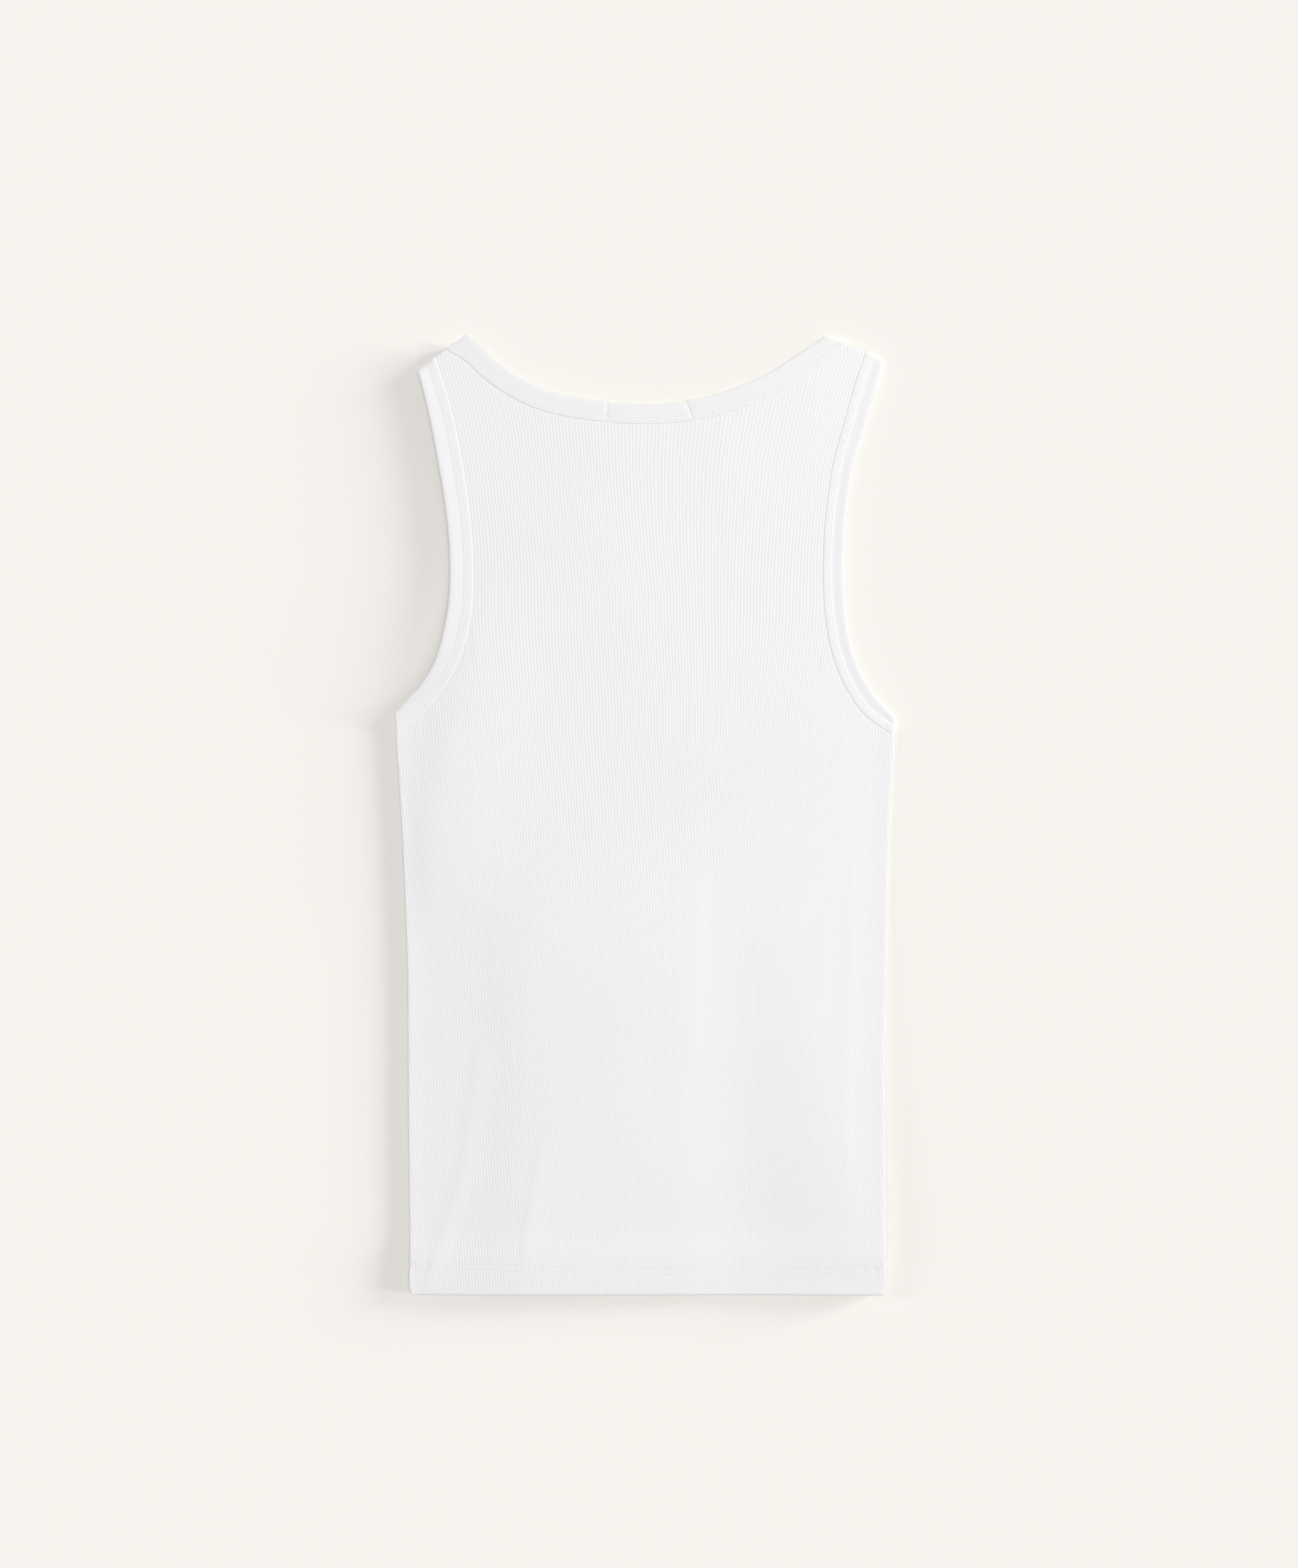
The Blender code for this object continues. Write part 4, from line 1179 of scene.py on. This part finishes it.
def band_points(name, sections, panel, turn=None, outward=(0.0, 0.0), along=0.0):
    """Cross-sections of a binding at some sections of its edges."""
    free, sewn = sections[:, None, :2], sections[:, None, 2:]
    width = np.linalg.norm(free - sewn, axis=-1)
    profile = np.stack([band_profile(name, size) for size in width[:, 0]])
    share = profile[:, :, 0] / width
    plan = sewn + (free - sewn) * share[..., None]
    x, height = plan[..., 0], plan[..., 1]
    on_back, on_front = profile[..., 1], profile[..., 2]
    if name == "neck" and panel == BACK:
        height = height - tack_sag(x, share)
    second = ROWS[name][1]
    sewn_part = np.exp(-(profile[:, :, 0] / second) ** 4)
    ripple = waver(along, profile[:, :, 0], WAVER_SEED) * (RIPPLE + SEWN_RIPPLE * sewn_part)
    reach, drop = ENDS[name]
    near_end = np.sqrt(1.0 - (1.0 - np.clip(along / reach, 0.0, 1.0)) ** 2)
    end_drop = drop * (1.0 - near_end) * smooth_step((profile[:, :, 0] - END_FROM) / END_OVER)
    outer = smooth_step((profile[:, :, 0] - second - ROLL_FROM) / (width - second - ROLL_FROM))
    low = smooth_step((along - FLAT_FROM) / (FLAT_TO - FLAT_FROM))
    end_drop = end_drop + FLATTENED[name] * outer * low
    top = smooth_step((on_back - TOP_FROM) / TOP_OVER)
    on_back = on_back + top * (ripple - tack_dip(x, height) - end_drop)
    half = half_gap(x, height)
    if turn is None:
        return place(x, height, half, on_back if panel == BACK else on_front, panel)
    offset = on_back + (on_front - on_back) * turn / math.pi
    return place(x, height, half, offset, BACK, turn, outward)


print(len(BAND_TURNS), "rings round each shoulder fold")

# %% Ring of a binding
U_POINT = 8               # the point of a cross-section whose line measures the UV map's length


def for_turns(section):
    """One section, once for each step round a fold."""
    return np.repeat(section, len(BAND_TURNS), axis=0)


def band_mesh(name, back, front, first_fold, last_fold, material):
    """A closed ring: along the back, over one fold, along the front and over the other."""
    sewn = back[:, 2:]
    along = arc_lengths(sewn)[:, None]
    turns = BAND_TURNS[:, None]
    rings = np.concatenate([
        band_points(name, back, BACK, along=along),
        band_points(name, for_turns(back[-1:]), BACK, turns, last_fold, along[-1]),
        band_points(name, front[::-1], FRONT),
        band_points(name, for_turns(back[:1]), BACK, turns[::-1], first_fold, along[0]),
    ])
    count, points = rings.shape[:2]
    index = np.arange(count * points).reshape(count, points)
    after, beyond = np.roll(index, -1, axis=1), np.roll(index, -1, axis=0)
    faces = np.stack([index, after, np.roll(after, -1, axis=0), beyond], axis=-1).reshape(-1, 4)
    data = bpy.data.meshes.new(name)
    data.from_pydata(rings.reshape(-1, 3).tolist(), [], faces.tolist())
    middle = rings[:, U_POINT]
    u = arc_lengths(np.vstack([middle, middle[:1]])) / MM
    v = arc_lengths(np.vstack([rings[0], rings[0, :1]])) / MM
    i, j = np.divmod(np.arange(count * points), points)
    uv = np.stack([np.stack([u[i], v[j]], -1), np.stack([u[i], v[j + 1]], -1),
                   np.stack([u[i + 1], v[j + 1]], -1), np.stack([u[i + 1], v[j]], -1)], axis=1)
    data.uv_layers.new(name="knit").data.foreach_set("uv", uv.astype("f4").ravel())
    data.materials.append(material)
    return data


def outward_faces(data):
    """Turns every face of a closed mesh outwards."""
    mesh = bmesh.new()
    mesh.from_mesh(data)
    bmesh.ops.recalc_face_normals(mesh, faces=mesh.faces)
    mesh.to_mesh(data)
    mesh.free()


print("the UV map's length is measured along point", U_POINT)


# %% Three bindings
def make_band(title, name, back, front, first_fold, last_fold, material):
    data = band_mesh(name, back, front, first_fold, last_fold, material)
    outward_faces(data)
    data.shade_smooth()
    data.set_sharp_from_angle(angle=SHARP)
    print(title, 2 * len(data.polygons), "triangles")
    return put_in_scene(title, data)


TITLES = {"neck": "neck", "left": "left_armhole", "right": "right_armhole", "hem": "hem"}
rings = {"neck": (neck_sections(BACK), neck_sections(FRONT), OUTWARD["left"], OUTWARD["right"])}
for name, side in (("left", (-1.0, 0.0)), ("right", (1.0, 0.0))):
    rings[name] = (arm_sections(BACK, name), arm_sections(FRONT, name), OUTWARD[name], side)
bands = {name: make_band(TITLES[name] + "_binding_cloth", name, *rings[name],
                         {"neck": neck_knit, **arm_knit}[name]) for name in rings}

# %% [markdown]
# ## Stitches
#
# The sewing is a coverstitch: two parallel rows that show as short threads lying end to end,
# each pulled a little into the cloth. A stitch is one small capsule of thread, and Geometry Nodes
# lays it along a path over and over. The path is a line of points that carries the cloth's own
# outward direction, so that a stitch always lies on the surface, also round a fold.

# %% Tree that lays stitches
def stitch_tree():
    tree, source, result, keys = new_tree("laid_stitches", (
        ("Pitch", "NodeSocketFloat", 2.2 * MM), ("Length", "NodeSocketFloat", 2.0 * MM),
        ("Width", "NodeSocketFloat", 0.6 * MM), ("Thickness", "NodeSocketFloat", 0.4 * MM),
        ("Slant", "NodeSocketFloat", 0.2), ("Material", "NodeSocketMaterial", None)))
    path = add_node(tree, "GeometryNodeMeshToCurve", {0: source.outputs["Geometry"]})
    spaced = add_node(tree, "GeometryNodeResampleCurve", {"Curve": path.outputs[0],
                                                          "Length": source.outputs["Pitch"]},
                      mode="LENGTH")
    ball = add_node(tree, "GeometryNodeMeshUVSphere", {"Segments": 8, "Rings": 5, "Radius": 0.5})
    size = add_node(tree, "ShaderNodeCombineXYZ", {"X": source.outputs["Length"],
                                                   "Y": source.outputs["Width"],
                                                   "Z": source.outputs["Thickness"]})
    tangent = add_node(tree, "GeometryNodeInputTangent")
    lengthways = add_node(tree, "FunctionNodeAlignRotationToVector",
                          {"Vector": tangent.outputs[0]}, axis="X")
    upright = add_node(tree, "FunctionNodeAlignRotationToVector",
                       {"Rotation": lengthways.outputs[0],
                        "Vector": attribute(tree, "lie", "FLOAT_VECTOR")}, axis="Z", pivot_axis="X")
    number = add_node(tree, "GeometryNodeInputIndex")
    odd = maths(tree, "MODULO", number.outputs[0], 2.0)
    lean = maths(tree, "MULTIPLY", maths(tree, "SUBTRACT", odd, 0.5), source.outputs["Slant"])
    turn = add_node(tree, "FunctionNodeAxisAngleToRotation", {"Angle": lean})
    turn.inputs["Axis"].default_value = (0.0, 0.0, 1.0)
    leaning = add_node(tree, "FunctionNodeRotateRotation",
                       {"Rotation": upright.outputs[0], "Rotate By": turn.outputs[0]},
                       rotation_space="LOCAL")
    laid = add_node(tree, "GeometryNodeInstanceOnPoints",
                    {"Points": spaced.outputs[0], "Instance": ball.outputs[0],
                     "Rotation": leaning.outputs[0], "Scale": size.outputs[0]})
    finish_tree(tree, laid.outputs[0], source, result)
    return tree, keys


laid_stitches, stitch_keys = stitch_tree()
print("the stitch tree has", len(laid_stitches.nodes), "nodes")


# %% Sew
THREAD_LIFT = 1.62        # middle of a thread on the back, from the wall's inner face
FRONT_THREAD = 0.84       # and on the front, where nothing may reach below the table


def sew(title, paths, values):
    """Stitches along some paths; each path is its points and the cloth's outward directions."""
    points = np.concatenate([path[0] for path in paths])
    lies = np.concatenate([path[1] for path in paths])
    edges, start = [], 0
    for path in paths:
        edges += [(start + index, start + index + 1) for index in range(len(path[0]) - 1)]
        start += len(path[0])
    data = bpy.data.meshes.new(title)
    data.from_pydata(points.tolist(), edges, [])
    data.attributes.new("lie", "FLOAT_VECTOR", "POINT").data.foreach_set(
        "vector", lies.astype("f4").ravel())
    obj = put_in_scene(title, data)
    apply_tree(obj, laid_stitches, stitch_keys, {**values, "Material": thread})
    print(title, sum(len(face.vertices) - 2 for face in obj.data.polygons), "triangles")
    return obj


print("a thread on the back lies", round(THREAD_LIFT - WALL, 2), "mm above the bare wall")


# %% Rows of stitches on the bindings
def band_path(back, front, first_fold, last_fold, row):
    """A row of stitches all round a binding, at a distance from its sewn edge."""
    def run(sections, panel, turn=None, outward=(0.0, 0.0)):
        free, sewn = sections[:, :2], sections[:, 2:]
        width = np.linalg.norm(free - sewn, axis=1, keepdims=True)
        plan = sewn + (free - sewn) * row / width
        x, height = plan[:, 0], plan[:, 1]
        half = half_gap(x, height)
        lift = THREAD_LIFT - tack_dip(x, height)
        if turn is None:
            points = place(x, height, half, lift if panel == BACK else FRONT_THREAD, panel)
            lie = np.tile((0.0, 0.0, float(panel)), (len(points), 1))
            return points, lie
        offset = lift + (FRONT_THREAD - lift) * turn / math.pi
        points = place(x, height, half, offset, BACK, turn, outward)
        lie = np.stack([outward[0] * np.sin(turn), outward[1] * np.sin(turn), np.cos(turn)], -1)
        return points, lie

    runs = [run(back, BACK), run(for_turns(back[-1:]), BACK, BAND_TURNS, last_fold),
            run(front[::-1], FRONT), run(for_turns(back[:1]), BACK, BAND_TURNS[::-1], first_fold)]
    points = np.concatenate([part[0] for part in runs] + [runs[0][0][:1]])
    lies = np.concatenate([part[1] for part in runs] + [runs[0][1][:1]])
    return points, lies


SEWING = {"Pitch": 2.1 * MM, "Length": 1.95 * MM, "Width": 0.72 * MM, "Thickness": 0.56 * MM,
          "Slant": 0.7}
stitching = {name: sew(TITLES[name] + "_stitching",
                       [band_path(*ring, row) for row in ROWS[name]], SEWING)
             for name, ring in rings.items()}


# %% Stitches of the hem
HEM_SEWING = {"Pitch": 2.6 * MM, "Length": 2.2 * MM, "Width": 0.42 * MM, "Thickness": 0.3 * MM,
              "Slant": 0.3}
HEM_STOP = 3.0            # how far from a side the rows end
HEM_POINTS = 330          # points of a row's path
HEM_LIFT, GROOVE_SHARE = 0.04, 0.5    # height over the cloth, and share of its groove to follow


def hem_path(panel, side):
    """One row of the hem's stitches on one panel."""
    left, right = (float(side_x(name, HEM_SEAM)) for name in ("left", "right"))
    x = np.linspace(left + HEM_STOP, right - HEM_STOP, HEM_POINTS)
    height = hem_line(x) + side * HEM_ROW
    on_back = WALL + HEM_LIFT - GROOVE_SHARE * hem_groove(x, height)
    face = on_back if panel == BACK else FRONT_THREAD
    points = place(x, height, half_gap(x, height), face, panel)
    return points, np.tile((0.0, 0.0, float(panel)), (len(points), 1))


hem_rows = [hem_path(panel, side) for panel in (BACK, FRONT) for side in (-1, 1)]
stitching["hem"] = sew(TITLES["hem"] + "_stitching", hem_rows, HEM_SEWING)


# %% Press everything on the table
def press_down(obj):
    """What would reach below the table lies on it."""
    points = np.empty(3 * len(obj.data.vertices), dtype="f4")
    obj.data.vertices.foreach_get("co", points)
    points[2::3] = np.maximum(points[2::3], 0.0)
    obj.data.vertices.foreach_set("co", points)
    obj.data.update()


cloth_pieces = [back_cloth, front_cloth, *bands.values(), *stitching.values()]
for piece in cloth_pieces:
    press_down(piece)
print(len(cloth_pieces), "pieces lie on the table")

# %% [markdown]
# ## What each piece is, for the frame
#
# Every piece rides on the one body of this garment, takes the place of its plain solid and says
# how large it was cut before it was laid down. The cut of a panel is its outline in plan. A binding
# is a closed strip: its length is half-way between its sewn and its free edge.

# %% Cut sizes
def plan_area(points):
    """Area inside a closed outline."""
    x, y = points[:, 0], points[:, 1]
    return 0.5 * abs(float(np.dot(x, np.roll(y, -1)) - np.dot(y, np.roll(x, -1))))


def panel_cut(panel):
    """Width, length and area of a panel's cut, in metres, with its hem turned down."""
    side = SIDE_CURVE[SIDE_CURVE[:, 0] < UNDERARM]
    outline = np.vstack([np.stack([side[::-1, 1], side[::-1, 0]], -1)[::-1],
                         ARM_CUTS[panel, "left"], TOP_CUTS[panel][1:-1],
                         ARM_CUTS[panel, "right"][::-1],
                         np.stack([side[::-1, 2], side[::-1, 0]], -1)])
    width = float(side_x("right", UNDERARM) - side_x("left", UNDERARM))
    length = float(TOP_CUTS[panel][:, 1].max())
    return width * MM, length * MM, plan_area(outline) * MM * MM


def band_cut(name):
    """Width, length and area of a binding's flat ring, in metres."""
    length = area = 0.0
    for sections in rings[name][:2]:
        middle = 0.5 * (sections[:, :2] + sections[:, 2:])
        length += arc_lengths(middle)[-1]
        ring = np.vstack([sections[:, :2], sections[::-1, 2:]])
        area += plan_area(ring)
    return area / length * MM, length * MM, area * MM * MM


print("the two panels have", round(panel_cut(BACK)[2] + panel_cut(FRONT)[2], 3), "square metres")


def tell(node, width, length, area, digits):
    print(node, "cut", round(width, digits), "x", round(length, 3), "m,",
          round(area, digits + 1), "square metres")


panels = (
    (back_cloth, "back_panel", "back_rib_knit", BACK, ["front_panel_knit"]),
    (front_cloth, "front_panel", "front_rib_knit", FRONT, ["table"]),
)
for cloth, node, slot, panel, under in panels:
    width, length, area = panel_cut(panel)
    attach(cloth, "root")
    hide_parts(node)
    tell(node, width, length, area, 3)

for name, band in bands.items():
    node = TITLES[name] + "_binding"
    width, length, area = band_cut(name)
    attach(band, "root")
    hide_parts(node)
    tell(node, width, length, area, 4)

for name, piece in stitching.items():
    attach(piece, "root")

# %% [markdown]
# ## Table, light and camera
#
# White cloth on a pale table is lit softly from all sides: nearly half of the light is the room's,
# and a wide lamp overhead gives more than a third. A window low on the right adds the rest. It
# rakes across the cloth, which is what makes ribs a quarter of a millimetre high visible at all: a
# slope of a few degrees turned away from it is already darker.
#
# Three low glows light only the table, and their long soft shadows lift the garment off it. Light
# linking does that: a lamp can be given a list of what it lights and a list of what blocks it. The
# camera is far away with a long lens, so that the garment is seen as it was cut.

# %% Table
FLOOR_SIDE = 6.0          # metres from the garment to an edge of the table
table_mesh = bpy.data.meshes.new("table")
corners = [(-FLOOR_SIDE, -FLOOR_SIDE, 0), (FLOOR_SIDE, -FLOOR_SIDE, 0),
           (FLOOR_SIDE, FLOOR_SIDE, 0), (-FLOOR_SIDE, FLOOR_SIDE, 0)]
table_mesh.from_pydata(corners, [], [(0, 1, 2, 3)])
paper, _ = new_material("warm_paper", (0.80, 0.776, 0.74), roughness=0.95, sheen=0.0)
table_mesh.materials.append(paper)
table = put_in_scene("table", table_mesh)
print("the table lies at height", min(corner[2] for corner in corners))


# %% Lamps
def hang(name, light, azimuth, elevation, distance=0.0):
    """A lamp turned towards the garment; the azimuth is counted from +X towards +Y."""
    lamp = put_in_scene(name, light)
    up, round_z = math.radians(elevation), math.radians(azimuth)
    lamp.location = (distance * math.cos(up) * math.cos(round_z),
                     distance * math.cos(up) * math.sin(round_z), distance * math.sin(up))
    lamp.rotation_euler = (math.radians(90.0 - elevation), 0.0, round_z + math.pi / 2)
    return lamp


def sun(name, azimuth, elevation, strength, width):
    """A soft distant light, some degrees wide."""
    light = bpy.data.lights.new(name, "SUN")
    light.energy = strength
    light.angle = math.radians(width)
    return hang(name, light, azimuth, elevation)


def window(name, azimuth, elevation, distance, strength, width, height):
    """A large soft light with a place of its own."""
    light = bpy.data.lights.new(name, "AREA")
    light.shape = "RECTANGLE"
    light.size, light.size_y = width, height
    light.energy = strength
    return hang(name, light, azimuth, elevation, distance)


def link_to(lamp, lit, blockers=()):
    """Lets a lamp light only some objects; if blockers are named, only they cast its shadow."""
    group = bpy.data.collections.new("lit_by_" + lamp.name)
    for obj in lit:
        group.objects.link(obj)
    lamp.light_linking.receiver_collection = group
    if blockers:
        screen = bpy.data.collections.new("shadow_of_" + lamp.name)
        for obj in blockers:
            screen.objects.link(obj)
        lamp.light_linking.blocker_collection = screen


low_edges = [front_cloth, bands["left"]]
print("the glows' shadows come from", ", ".join(piece.name for piece in low_edges))

# %% Lights
sun("overhead_softbox", azimuth=30.0, elevation=86.0, strength=1.155, width=30.0)
side_window = window("side_window", azimuth=26.0, elevation=27.0, distance=2.9, strength=31.0,
                     width=1.4, height=0.9)
link_to(side_window, cloth_pieces)
glows = (
    # name, azimuth, elevation, strength, width, what casts its shadow
    ("glow_behind_right", 18.0, 5.7, 5.1, 16.0, [back_cloth, *low_edges]),
    ("low_glow_right", -8.0, 3.6, 5.2, 12.0, low_edges),
    ("glow_left", 172.0, 12.0, 1.05, 20.0, low_edges),
)
for *lamp, blockers in glows:
    link_to(sun(*lamp), [table], blockers)
print("a softbox,", len(glows), "glows and a window", round(side_window.location.z, 2), "m up")

# %% Room
ROOM_LIGHT = 0.46
world = bpy.data.worlds.new("room")
world.use_nodes = True
background = world.node_tree.nodes["Background"]
background.inputs["Color"].default_value = (1.0, 1.0, 1.0, 1.0)
background.inputs["Strength"].default_value = ROOM_LIGHT
bpy.context.scene.world = world
print("the room gives", ROOM_LIGHT, "from all sides")

# %% Camera
CAMERA_HEIGHT = 3.0       # metres
CAMERA_X, CAMERA_Y = 3.1, 21.2
LENS = 100.0
camera_data = bpy.data.cameras.new("camera")
camera_data.lens = LENS
camera = put_in_scene("camera", camera_data)
camera.location = (CAMERA_X * MM, CAMERA_Y * MM, CAMERA_HEIGHT)
bpy.context.scene.camera = camera
bpy.context.scene.view_settings.view_transform = "Standard"
print("the camera looks straight down from", CAMERA_HEIGHT, "m")
